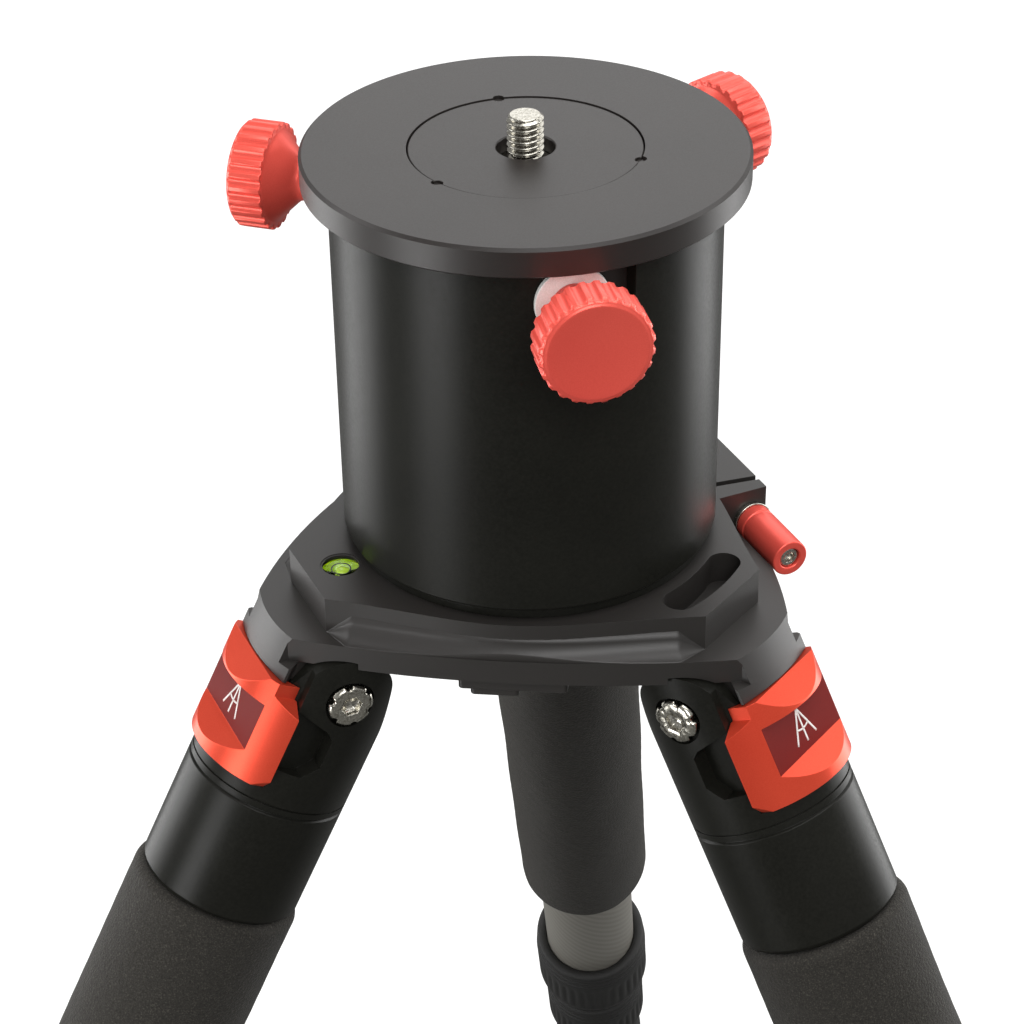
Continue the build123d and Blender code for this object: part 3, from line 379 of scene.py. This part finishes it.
def bevelled_copy(node, name, finish, width, body):
    """A CAD node's shape with its triangles joined into whole faces and its edges softly rounded."""
    mesh = NODES[node].data.copy()
    mesh.name = name
    work = bmesh.new()
    work.from_mesh(mesh)
    bmesh.ops.remove_doubles(work, verts=work.verts, dist=2e-6)
    bmesh.ops.dissolve_limit(work, angle_limit=np.radians(0.6), verts=work.verts, edges=work.edges)
    for face in work.faces:
        face.smooth = True
    work.to_mesh(mesh)
    work.free()
    if "custom_normal" in mesh.attributes:
        mesh.attributes.remove(mesh.attributes["custom_normal"])
    mesh.materials.clear()
    mesh.materials.append(FINISHES[finish])
    piece = bpy.data.objects.new(name, mesh)
    bpy.context.scene.collection.objects.link(piece)
    ease = piece.modifiers.new("eased_edges", "BEVEL")
    ease.width = width * MM
    ease.segments = 3
    ease.limit_method = "ANGLE"
    ease.angle_limit = np.radians(23)
    ease.harden_normals = True
    ease.miter_outer = "MITER_ARC"
    return stand_for(piece, body, node)


def upright(x=0.0, y=0.0):
    """A line that points up from the floor, with the front as its outward side."""
    return Place((x, y, 0), (0, 0, 1), (0, -1, 0))


def leg_place(side):
    """A leg's line at its pivot: stations run down the leg, out is its outer face."""
    swing, pull, slide = (JOINTS[f"leg_{side}_swing"], JOINTS[f"latch_{side}_pull"],
                          JOINTS[f"middle_{side}_slide"])
    return Place(np.array(swing["pos_m"]) / MM, slide["axis"], pull["axis"])


def knob_place(side):
    """A knob's line, pointing outward from the pier axis at the knob's height."""
    turn = JOINTS[f"knob_{side}_turn"]
    return Place((0, 0, turn["pos_m"][2] / MM), turn["axis"], (0, 0, 1))


# ---- camera, light and floor ---------------------------------------------------------
def make_camera():
    """The camera looks down at the pier from the front, a little to the right and rolled a little."""
    azimuth, elevation, roll = np.radians([6.14, 32.71, -0.9])
    distance, pan, drop, lens = 746.86, -4.86, 110.07, 95.62
    back = np.array([np.sin(azimuth) * np.cos(elevation), -np.cos(azimuth) * np.cos(elevation),
                     np.sin(elevation)])
    right = np.array([np.cos(azimuth), np.sin(azimuth), 0])
    up = np.cross(back, right)
    turned_right = np.cos(roll) * right + np.sin(roll) * up
    turned_up = np.cos(roll) * up - np.sin(roll) * right
    target = np.array([0, 0, PLATE_TOP - drop]) + right * pan
    camera = bpy.data.objects.new("camera", bpy.data.cameras.new("camera"))
    camera.data.lens = lens
    camera.data.sensor_width = 36
    camera.data.clip_start = 0.05
    pose = Matrix(np.column_stack([turned_right, turned_up, back]).tolist()).to_4x4()
    pose.translation = Vector((target + back * distance) * MM)
    camera.matrix_world = pose
    bpy.context.scene.collection.objects.link(camera)
    bpy.context.scene.camera = camera


def make_light(name, place_at, size, power):
    """A large white soft box aimed at the middle of the pier. Sizes are in metres, power in watts."""
    lamp = bpy.data.lights.new(name, "AREA")
    lamp.shape = "RECTANGLE"
    lamp.size, lamp.size_y = size
    lamp.energy = power
    box = bpy.data.objects.new(name, lamp)
    box.location = place_at
    below_plate = 90
    aim = Vector((0, 0, (PLATE_TOP - below_plate) * MM)) - Vector(place_at)
    box.rotation_euler = aim.to_track_quat("-Z", "Y").to_euler()
    bpy.context.scene.collection.objects.link(box)


def lit_for_camera(tree, shown, given):
    """A strength that is one value where it is seen directly and another in the light it gives off."""
    seen = add(tree, "ShaderNodeLightPath").outputs["Is Camera Ray"]
    strength = add(tree, "ShaderNodeMath", {"operation": "MULTIPLY_ADD", 1: shown - given, 2: given},
                   {0: seen})
    return strength.outputs[0]


def make_studio():
    """A pale floor and surround that give little light themselves, so that black metal stays black,
    and soft boxes behind, overhead, in front, at both sides and low beside the legs."""
    world = bpy.data.worlds.new("pale_surround")
    bpy.context.scene.world = world
    world.use_nodes = True
    surround = world.node_tree.nodes["Background"]
    surround.inputs["Color"].default_value = (1, 1, 1, 1)
    world.node_tree.links.new(lit_for_camera(world.node_tree, 1.0, 0.36), surround.inputs["Strength"])
    floor_finish, tree, shader = new_material("pale_studio_floor", Roughness=0.9)
    shader.inputs["Base Color"].default_value = colour("#5c5c5a")
    shader.inputs["Emission Color"].default_value = colour("#ffffff")
    tree.links.new(lit_for_camera(tree, 1.03, 0.03), shader.inputs["Emission Strength"])
    FINISHES["floor"] = floor_finish
    reach = np.linspace(-4, 4, 3)
    across, along = np.meshgrid(reach, reach, indexing="ij")
    level = np.stack([across, along, np.zeros_like(across)], -1)
    grid_piece("studio_floor", level, "floor", wrap=False)
    make_light("back_box", (0.3, 1.9, 1.7), (2.6, 1.6), 17)
    make_light("top_box", (0.3, 0.1, 2.2), (1.4, 1.4), 20)
    make_light("left_box", (-1.5, 0.1, 0.95), (0.6, 1.5), 10)
    make_light("low_left_box", (-0.75, -0.7, 0.16), (0.4, 0.6), 6)
    make_light("floor_left_box", (-0.85, 0.3, 0.2), (0.5, 0.9), 5)
    make_light("floor_right_box", (0.8, 0.55, 0.25), (0.5, 0.9), 5)
    make_light("right_box", (1.5, 0.45, 0.95), (0.6, 1.5), 9)
    make_light("front_box", (0.45, -1.5, 1.7), (0.9, 0.9), 18)
    bpy.context.scene.view_settings.view_transform = "Standard"


make_camera()
make_studio()


# ---- the pieces ---------------------------------------------------------------------------
def polygon_radius(angle, across_flats, sides=6):
    """Radius of a regular polygon in a direction: half its width over the cosine of the angle from
    the nearest flat's middle."""
    part = 2 * np.pi / sides
    return across_flats / 2 / np.cos((angle + part / 2) % part - part / 2)


def notched(angle, radius, notch_radius, count, centre_radius):
    """A circle with round bites out of it: near each bite the radius is where the ray from the centre
    meets the bite's circle, elsewhere it is the full radius."""
    part = 2 * np.pi / count
    off = (angle + part / 2) % part - part / 2
    inside = notch_radius ** 2 - (centre_radius * np.sin(off)) ** 2
    near = centre_radius * np.cos(off) - np.sqrt(np.maximum(inside, 0))
    return np.where(inside > 0, np.minimum(radius, near), radius)


def rows(*pairs, columns):
    """Two arrays, rows by columns, from (station, radius) pairs whose radius is a number or an array."""
    station = np.array([[pair[0]] for pair in pairs], float)
    radius = np.stack([np.broadcast_to(np.asarray(pair[1], float), columns) for pair in pairs])
    return station, radius


def make_stud():
    """Camera stud: a V thread whose depth is a triangle wave of station minus turn times pitch, run
    out into the top chamfer, on a flange with a turned edge."""
    place = upright()
    low, high, _, flange = place.span("camera_stud")
    inch, threads_per_inch, stud_inches = 25.4, 16, 3 / 8
    pitch, depth, columns = inch / threads_per_inch, 0.95, 96
    crest, flange_top = stud_inches * inch / 2, low + 2.4
    angle = column_angles(columns)
    station = np.linspace(flange_top + 0.05, high - 0.02, 190)
    phase = (station[:, None] / pitch - angle / (2 * np.pi)) % 1
    groove = depth * np.clip(1 - np.abs(phase - 0.5) * 2.4, 0, 1)
    lead_in = np.minimum(crest, crest - 0.9 + (high - station) * 1.1)[:, None]
    thread = np.minimum(crest - groove, lead_in)
    parts = [rows((low, 0), (low, flange - 0.2), (low + 0.2, flange), (flange_top - 0.2, flange),
                  (flange_top, flange - 0.2), (flange_top, crest), columns=columns),
             (station[:, None], thread),
             rows((high, thread[-1] - 0.15), (high, crest * 0.5), (high, 0), columns=columns)]
    round_piece("camera_stud_thread", place, np.vstack([part[0] for part in parts]),
                np.vstack([part[1] for part in parts]), "steel", "head", "camera_stud")


def make_knob(side):
    """Knob: a stem, a cone and a fluted head with a shallow dished face. The flutes are round bites
    along the head, and each row's radius is the smaller of the profile's and the bitten circle's."""
    place, body = knob_place(side), f"knob_{side}"
    base, top, bore, outer = place.span(f"knob_{side}")
    head_length, cone_length, hub, back = 9.9, 6.5, 5.5, 12.4
    head = top - head_length
    cone = head - cone_length
    flutes, flute_radius, flute_offset = 24, 1.25, 0.44
    columns = flutes * 18
    bitten = notched(column_angles(columns), outer, flute_radius, flutes, outer + flute_offset)
    dish_depth = 0.75
    dish = np.linspace(1, 0, 14)[:-1]
    face_radius = outer - 1.7
    profile = [(base, bore), (base, hub - 0.3), (base + 0.3, hub), (cone - 1.0, hub), (cone, hub + 0.25),
               (cone + 1.0, hub + 1.1), (head - 0.6, back - 0.9), (head - 0.15, back - 0.25),
               (head, back), (head, outer - 0.35), (head + 0.1, outer - 0.1), (head + 0.35, outer),
               (top - 1.5, outer), (top - 1.3, outer - 0.05), (top - 0.5, outer - 0.85),
               (top - 0.38, outer - 1.1), (top - 0.32, face_radius + 0.25), (top - 0.05, face_radius),
               (top, face_radius - 0.3)]
    profile += [(top - dish_depth * (1 - share ** 2), (face_radius - 0.6) * share) for share in dish]
    station, radius = rows(*profile, (top - dish_depth, 0), columns=columns)
    rim = (station > head - 0.01) & (station < top - 0.36) & (radius > back + 0.1)
    round_piece(f"knob_{side}_fluted", place, station, np.where(rim, np.minimum(radius, bitten), radius),
                "red", body, f"knob_{side}")
    start, end, _, screw = place.span(f"knob_screw_{side}")
    turned(f"knob_screw_{side}_turned", place, [(start, 0), (start, screw - 0.6), (start + 0.6, screw),
                                                (end, screw), (end, 0)], "steel", body,
           f"knob_screw_{side}", ease=0.2, columns=48)
    bevelled_copy(f"knob_washer_{side}", f"knob_washer_{side}_moulded", "nylon", 0.25,
                  BODY_OF[f"knob_washer_{side}"])


def make_bolt(side):
    """Pivot bolt: a shank and two heads, each head with six round bites in its rim and a hex socket."""
    leg = leg_place(side)
    centre = leg.origin
    columns = 144
    angle = column_angles(columns)
    shank = Place(centre, leg.side, leg.out)
    _, face, _, _ = shank.span("pivot_bolts", within=30)
    head_thickness, head_radius, shank_radius, hex_across, hex_depth = 3.2, 6.2, 4.0, 5.0, 2.2
    seat = face - head_thickness
    rim = notched(angle, head_radius, 1.15, 6, head_radius + 0.25)
    land = np.minimum(rim, head_radius - 0.35)
    socket = polygon_radius(angle, hex_across)
    for way in (-1, 1):
        line = Place(centre, leg.side * way, leg.out)
        station, radius = rows((seat, 0), (seat, rim), (face - 0.5, rim), (face - 0.15, land * 0.965),
                               (face, land * 0.93), (face, socket * 1.12), (face - 0.12, socket * 1.03),
                               (face - 0.3, socket), (face - hex_depth, socket), (face - hex_depth, 0),
                               columns=columns)
        round_piece(f"pivot_bolt_{side}_{'near' if way > 0 else 'far'}", line, station, radius, "steel",
                    "root", "pivot_bolts")
    turned(f"pivot_bolt_{side}_shank", shank, [(-seat, 0), (-seat, shank_radius),
                                                          (seat, shank_radius), (seat, 0)], "steel",
           "root", "pivot_bolts", ease=0.2, columns=48)


def clamp_place():
    """The clamp screw's line, pointing to its head."""
    turn = JOINTS["clamp_turn"]
    return Place(np.array(turn["pos_m"]) / MM, turn["axis"], (0, 0, 1))


def make_clamp():
    """Clamp: a red barrel with a turned waist line, a socket screw sunk in its end, and a washer."""
    place, body = clamp_place(), BODY_OF["clamp_barrel"]
    start, end, _, outer = place.span("clamp_barrel")
    screw_start, screw_end, _, head = place.span("clamp_screw")
    seat = end - CLAMP_HEAD_SINK
    turned("clamp_barrel_turned", place, [(start, CLAMP_BORE), (start, outer), (start + 3.2, outer),
                                          (start + 3.4, outer - 0.3), (start + 3.9, outer - 0.3),
                                          (start + 4.1, outer), (end, outer), (end, head + 0.05),
                                          (seat, head + 0.05), (seat, CLAMP_BORE)], "red", body,
           "clamp_barrel", ease=0.45)
    columns = 96
    socket = polygon_radius(column_angles(columns), head * 0.95)
    station, radius = rows((screw_start, 0), (screw_start, 1.9), (seat, 1.9), (seat, head),
                           (screw_end - 0.3, head), (screw_end, head - 0.3), (screw_end, socket * 1.08),
                           (screw_end - 0.15, socket), (screw_end - 1.8, socket), (screw_end - 1.8, 0),
                           columns=columns)
    round_piece("clamp_screw_socket_head", place, station, radius, "steel", body, "clamp_screw")
    low, high, _, wide = place.span("clamp_washer")
    turned("clamp_washer_turned", place, [(low, CLAMP_BORE), (low, wide), (high, wide),
                                          (high, CLAMP_BORE)], "steel",
           BODY_OF["clamp_washer"], "clamp_washer", ease=0.3)


def make_level():
    """Bubble level: a black cup, lime liquid with a black ring and a bubble, and a clear domed lens.
    The dome's height falls off as the square of the radius."""
    low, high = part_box("bubble_housing")
    middle = (low + high) / 2 / MM
    place = upright(middle.x, middle.y)
    bottom, top, _, cup = place.span("bubble_housing")
    vial_low, vial_top, _, vial = place.span("bubble_vial")
    _, lens_top, _, _ = place.span("bubble_lens")
    turned("bubble_cup", place, [(bottom, 0), (bottom, cup), (top, cup), (top, vial + 0.02),
                                 (bottom + 0.8, vial + 0.02), (bottom + 0.8, 0)], "black_casting", "root",
           "bubble_housing", ease=0.12)
    turned("bubble_liquid", place, [(vial_low, 0), (vial_low, vial), (vial_top, vial), (vial_top, 0)],
           "liquid", "root", "bubble_vial", ease=0.05)
    turned("bubble_ring", place, [(vial_top + 0.02, 2.35), (vial_top + 0.02, 2.75), (vial_top + 0.1, 2.75),
                                  (vial_top + 0.1, 2.35)], "ink", "root", ease=0.02)
    drift = upright(middle.x + 0.5, middle.y - 0.6)
    share = np.linspace(1, 0, 12)
    station, radius = rows((vial_top + 0.01, 1.75), *[(vial_top + 0.12 + 0.35 * (1 - part ** 2), 1.75 * part)
                                                      for part in share], columns=64)
    round_piece("bubble_air", drift, station, radius, "air", "root")
    station, radius = rows((vial_top + 0.01, 0), (vial_top + 0.01, vial),
                           *[(lens_top - 0.55 * part ** 2, vial * part) for part in share], columns=96)
    round_piece("bubble_lens_dome", place, station, radius, "lens", "root", "bubble_lens")


def make_leg(side):
    """The turned parts of a leg: collar, tubes, foam grip, twist locks and foot, along the leg's line."""
    leg = leg_place(side)
    body = {node: BODY_OF[f"{node}_{side}"] for node in ("collar", "upper_tube", "middle_tube", "lower_tube",
                                                         "foam_grip", "lock_upper", "lock_lower", "foot")}
    start, end, bore, outer = leg.span(f"collar_{side}")
    tube_start, _, _, tube = leg.span(f"upper_tube_{side}")
    turned(f"collar_{side}_turned", leg, [(start, bore), (start, outer - 0.6), (start + 0.6, outer - 0.6),
                                          (start + 1.1, outer), (end - 1.4, outer),
                                          (end, outer - 1.0), (end, tube),
                                          (tube_start, tube), (tube_start, bore)],
           "black_tube", body["collar"], f"collar_{side}", ease=0.3, columns=192)
    for tube in ("upper_tube", "middle_tube", "lower_tube"):
        start, end, bore, outer = leg.span(f"{tube}_{side}")
        turned(f"{tube}_{side}_wound", leg, [(start, bore), (start, outer), (end, outer), (end, bore)],
               "carbon", body[tube], f"{tube}_{side}", ease=0.3, columns=128)
    for lock in ("lock_upper", "lock_lower"):
        make_lock(leg, side, lock, body[lock])
    make_grip(leg, side, body["foam_grip"])
    make_foot(leg, side, body["foot"])


def make_lock(leg, side, lock, body):
    """Twist lock: a collar with two line grooves, a grip with shallow round ribs, and a tapered tail.
    The ribs lower the radius by a raised cosine of the angle, faded in and out along the grip."""
    start, end, bore, outer = leg.span(f"{lock}_{side}")
    above = "upper_tube" if lock == "lock_upper" else "middle_tube"
    _, _, _, wide_bore = leg.span(f"{above}_{side}")
    wide_bore += 0.3
    throat = start + (end - start) * 0.6
    rib_count, rib_depth = 36, 0.55
    columns = rib_count * 10
    ribs = rib_depth * (0.5 - 0.5 * np.cos(rib_count * column_angles(columns))) ** 1.5
    grip = [(start + 13 + share * 20, outer - ribs * np.sin(np.pi * share) ** 0.4)
            for share in np.linspace(0, 1, 15)]
    tail = end - 11
    station, radius = rows((start, wide_bore), (start, outer - 1.6), (start + 0.5, outer - 0.9),
                           (start + 1.4, outer - 0.6),
                           (start + 3.6, outer - 0.5), (start + 3.7, outer - 1.0), (start + 4.3, outer - 1.0),
                           (start + 4.4, outer - 0.4), (start + 7.6, outer - 0.3), (start + 7.7, outer - 0.9),
                           (start + 8.3, outer - 0.9), (start + 8.4, outer - 0.2), (start + 10, outer), *grip,
                           (tail, outer), (tail + 0.4, outer - 0.4), (end - 1, bore + 1.6), (end, bore + 0.9),
                           (end, bore), (throat, bore), (throat, wide_bore), (start, wide_bore),
                           columns=columns)
    round_piece(f"{lock}_{side}_ribbed", leg, station, radius, "rubber", body, f"{lock}_{side}")


def make_grip(leg, side, body):
    """Foam grip: a sleeve with rolled ends whose skin rises and falls by a few slow sine waves round
    and along it, and by a finer dimple, as skived foam does."""
    start, end, bore, outer = leg.span(f"foam_grip_{side}")
    columns, roll = 220, 3.2
    angle = column_angles(columns)
    quarter = np.linspace(0, np.pi / 2, 9)
    top = [(start + roll - roll * np.sin(turn), outer - roll + roll * np.cos(turn))
           for turn in quarter[::-1]]
    foot = [(end - roll + roll * np.sin(turn), outer - roll + roll * np.cos(turn)) for turn in quarter]
    length = np.linspace(start + roll + 1, end - roll - 1, 150)
    profile = np.array([(start + 0.8, bore + 0.1), *top, *[(station, outer) for station in length], *foot,
                        (end - 0.8, bore + 0.1), (start + 0.8, bore + 0.1)])
    station, radius = profile[:, :1], np.repeat(profile[:, 1:], columns, 1)
    wave = (0.10 * np.sin(3 * angle + station / 17) + 0.08 * np.sin(5 * angle - station / 9 + 1.3)
            + 0.05 * np.sin(14 * angle + station / 2.3) * np.sin(station / 3.1 + 2 * angle))
    skin = np.clip((radius - bore - 2) / 3, 0, 1)
    round_piece(f"foam_grip_{side}_skived", leg, station, radius + (wave - 0.2) * skin, "foam", body,
                f"foam_grip_{side}")


def make_foot(leg, side, body):
    """Rubber foot: a ribbed sleeve over the lowest tube and a ball end."""
    start, end, _, ball = leg.span(f"foot_{side}")
    _, tube_end, _, tube = leg.span(f"lower_tube_{side}")
    centre = end - ball
    sweep = np.linspace(0.95, 0, 26) * np.pi
    neck = tube + 3.0
    head = [(centre + ball * np.cos(turn), ball * np.sin(turn)) for turn in sweep
            if ball * np.sin(turn) > neck or turn < np.pi / 2]
    ribs = [(start + 2 + 1.5 * index + step, neck - drop) for index in range(3)
            for step, drop in ((0, 0), (0.5, 0.5), (1.0, 0.5), (1.45, 0))]
    station, radius = rows((tube_end, 0), (tube_end, tube), (start, tube), (start, neck - 0.8),
                           (start + 0.8, neck), *ribs, *head, (end, 0), columns=128)
    round_piece(f"foot_{side}_moulded", leg, station, radius, "rubber", body, f"foot_{side}")


def face_loops(work, height, tolerance=0.02):
    """Closed edge loops where the flat face at a height meets the walls, as lists of plan points."""
    border = {}
    for edge in work.edges:
        level = all(abs(corner.co.z / MM - height) < tolerance for corner in edge.verts)
        flat = [face for face in edge.link_faces if abs(face.normal.z) > 0.99]
        if level and len(flat) == 1 and len(edge.link_faces) == 2:
            first, second = edge.verts
            border.setdefault(first, []).append(second)
            border.setdefault(second, []).append(first)
    loops = []
    while border:
        start, loop = next(iter(border)), []
        here = start
        while here in border:
            loop.append((here.co.x / MM, here.co.y / MM))
            following = [other for other in border.pop(here) if other in border]
            if not following:
                break
            here = following[0]
        loops.append(np.array(loop))
    return loops


def reach_to(outline, start, way):
    """How far each start goes along its way before it crosses a closed outline: for each side of the
    outline, the crossing of the two lines is solved, and the nearest one ahead counts."""
    side = np.roll(outline, -1, axis=0) - outline
    gap = outline[None] - start[:, None]
    cross = way[:, None, 0] * side[None, :, 1] - way[:, None, 1] * side[None, :, 0]
    cross = np.where(np.abs(cross) < 1e-9, 1e-9, cross)
    ahead = (gap[..., 0] * side[None, :, 1] - gap[..., 1] * side[None, :, 0]) / cross
    share = (gap[..., 0] * way[:, None, 1] - gap[..., 1] * way[:, None, 0]) / cross
    good = (ahead > 1e-6) & (share >= 0) & (share <= 1)
    return np.where(good, ahead, np.inf).min(axis=1)


def plan_run(outline, first, last, count):
    """Evenly spaced points along an outline between two azimuths, with the outward way at each: the
    outline's direction turned a quarter turn away from the pier axis."""
    azimuth = np.degrees(np.arctan2(outline[:, 1], outline[:, 0])) % 360
    azimuth = np.where(azimuth < first % 360, azimuth + 360, azimuth) + (first - first % 360)
    outside_bore = np.linalg.norm(outline, axis=1) > 50
    kept = (azimuth <= last) & outside_bore
    part = outline[kept][np.argsort(azimuth[kept])]
    travelled = np.concatenate([[0], np.cumsum(np.linalg.norm(np.diff(part, axis=0), axis=1))])
    even = np.linspace(0, travelled[-1], count)
    points = np.stack([np.interp(even, travelled, part[:, axis]) for axis in (0, 1)], -1)
    along = np.gradient(points, axis=0)
    way = np.stack([along[:, 1], -along[:, 0]], -1)
    return points, way / np.linalg.norm(way, axis=1)[:, None]


def capped(points):
    """Rows of points with one more row at each end, all of it at that end's middle."""
    ends = [np.repeat(points[end].mean(0)[None, None], points.shape[1], 1) for end in (0, -1)]
    return np.vstack([ends[0], points, ends[1]])


def make_coves():
    """The hollow between the two tiers: a quarter circle carried along the upper outline. At an
    outward distance d it stands radius - sqrt(radius squared - (radius - d) squared) above the step,
    and it is cut off where the lower tier ends. The circle shrinks to nothing towards both ends."""
    work = bmesh.new()
    work.from_mesh(NODES["apex_body"].data)
    bmesh.ops.remove_doubles(work, verts=work.verts, dist=2e-6)
    work.normal_update()
    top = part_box("apex_body")[1].z / MM
    step = top - TIER_RISE
    corner_reach = 65
    upper = np.vstack([loop for loop in face_loops(work, top)
                       if np.linalg.norm(loop, axis=1).max() > corner_reach])
    lower = max(face_loops(work, step), key=len)
    work.free()
    cove, count, fade_share, sink = 6.2, 160, 0.07, 0.2
    share = np.linspace(0, 1, count)
    fade = np.clip(np.minimum(share, 1 - share) / fade_share, 0.03, 1)
    reach = cove * fade[:, None]
    for name, first, last in COVES:
        points, way = plan_run(upper, first, last, count)
        room = np.minimum(reach_to(lower, points + way * 0.3, way) + 0.28, cove)
        out = np.linspace(0, 1, 14) * (room * fade)[:, None]
        rise = reach - np.sqrt(reach ** 2 - np.maximum(reach - out, 0) ** 2)
        out = np.hstack([out, out[:, -1:], np.full((count, 2), -2 * sink)])
        rise = np.hstack([rise, np.full((count, 2), -sink), rise[:, :1]])
        plan = points[:, None] + way[:, None] * out[..., None]
        solid = capped(np.concatenate([plan, (step + rise)[..., None]], -1)) * MM
        stand_for(grid_piece(f"apex_cove_{name}", solid, "black_casting"), "root")


def stroke(name, place, height, across, along, width, body):
    """A flat inlaid line: at each point its two sides lie half the width to either side of the
    direction of travel, and it stands under a tenth of a millimetre above the face at that height."""
    travel = np.stack([np.gradient(across), np.gradient(along)], -1)
    aside = np.stack([-travel[:, 1], travel[:, 0]], -1) / np.linalg.norm(travel, axis=1)[:, None] * width / 2
    edges = np.array([[-1, -1, 1, 1]])
    side = across[:, None] + aside[:, :1] * edges
    station = along[:, None] + aside[:, 1:] * edges
    out = height + np.broadcast_to(np.array([-0.05, 0.08, 0.08, -0.05]), side.shape)
    stand_for(grid_piece(name, capped(place.points(station, out, side)), "mark"), body)


def make_latch_panel(side):
    """The latch's flat panel takes a darker milled finish and a plain pictogram of three spread legs
    under an arc."""
    leg, body = leg_place(side), f"latch_{side}"
    face, first, last = 20.0, 8.3, 22.5
    mesh = bevelled_copy(body, f"latch_{side}_milled", "red_latch", 0.3, body).data
    mesh.materials.append(FINISHES["maroon"])
    centre = np.empty(len(mesh.polygons) * 3, np.float32)
    normal = np.empty(len(mesh.polygons) * 3, np.float32)
    mesh.polygons.foreach_get("center", centre)
    mesh.polygons.foreach_get("normal", normal)
    away = centre.reshape(-1, 3) / MM - leg.origin
    flat = (np.abs(away @ leg.out - face) < 0.1) & (normal.reshape(-1, 3) @ leg.out > 0.98)
    inside = flat & (away @ leg.along > first) & (away @ leg.along < last)
    mesh.polygons.foreach_set("material_index", inside.astype(np.int32))
    top, foot, widest = 10.6, 20.4, 4.6
    share = np.linspace(0, 1, 12)
    for index, spread in enumerate((-widest, 0.0, widest)):
        drop = foot - top - abs(spread) * 0.12
        stroke(f"latch_{side}_leg_mark_{index}", leg, face, spread * share, top + drop * share, 0.62, body)
    arc_radius = 6.0
    sweep = np.linspace(-0.95, 0.95, 24) * 0.52
    stroke(f"latch_{side}_arc_mark", leg, face, arc_radius * np.sin(sweep), top + arc_radius * np.cos(sweep),
           0.5, body)


def make_castings():
    """Cast and milled shapes keep their CAD form with eased edges, each by its own width."""
    for node, made, finish, ease in (("apex_body", "milled", "black_casting", 0.3),
                                     ("catch_housing", "milled", "black_casting", 0.3),
                                     ("catch_button", "milled", "black_casting", 0.3),
                                     ("pier_tube", "turned", "black_tube", 0.25),
                                     ("pier_foot", "turned", "black_tube", 0.25),
                                     ("top_plate", "turned", "black_plate", 0.25),
                                     ("centre_disc", "turned", "black_plate", 0.15),
                                     ("disc_grub_screws", "turned", "black_plate", 0.2)):
        bevelled_copy(node, f"{node}_{made}", finish, ease, BODY_OF[node])
    for side in SIDES:
        bevelled_copy(f"shoulder_{side}", f"shoulder_{side}_milled", "black_tube", 0.5, f"leg_{side}")
        make_latch_panel(side)
        bevelled_copy(f"latch_spring_{side}", f"latch_spring_{side}_wound", "steel", 0.1,
                      BODY_OF[f"latch_spring_{side}"])
    bevelled_copy("pivot_bushes", "pivot_bushes_sintered", "bronze", 0.2, "root")


make_castings()
make_coves()
make_stud()
make_clamp()
make_level()
for side in KNOBS:
    make_knob(side)
for side in SIDES:
    make_bolt(side)
    make_leg(side)
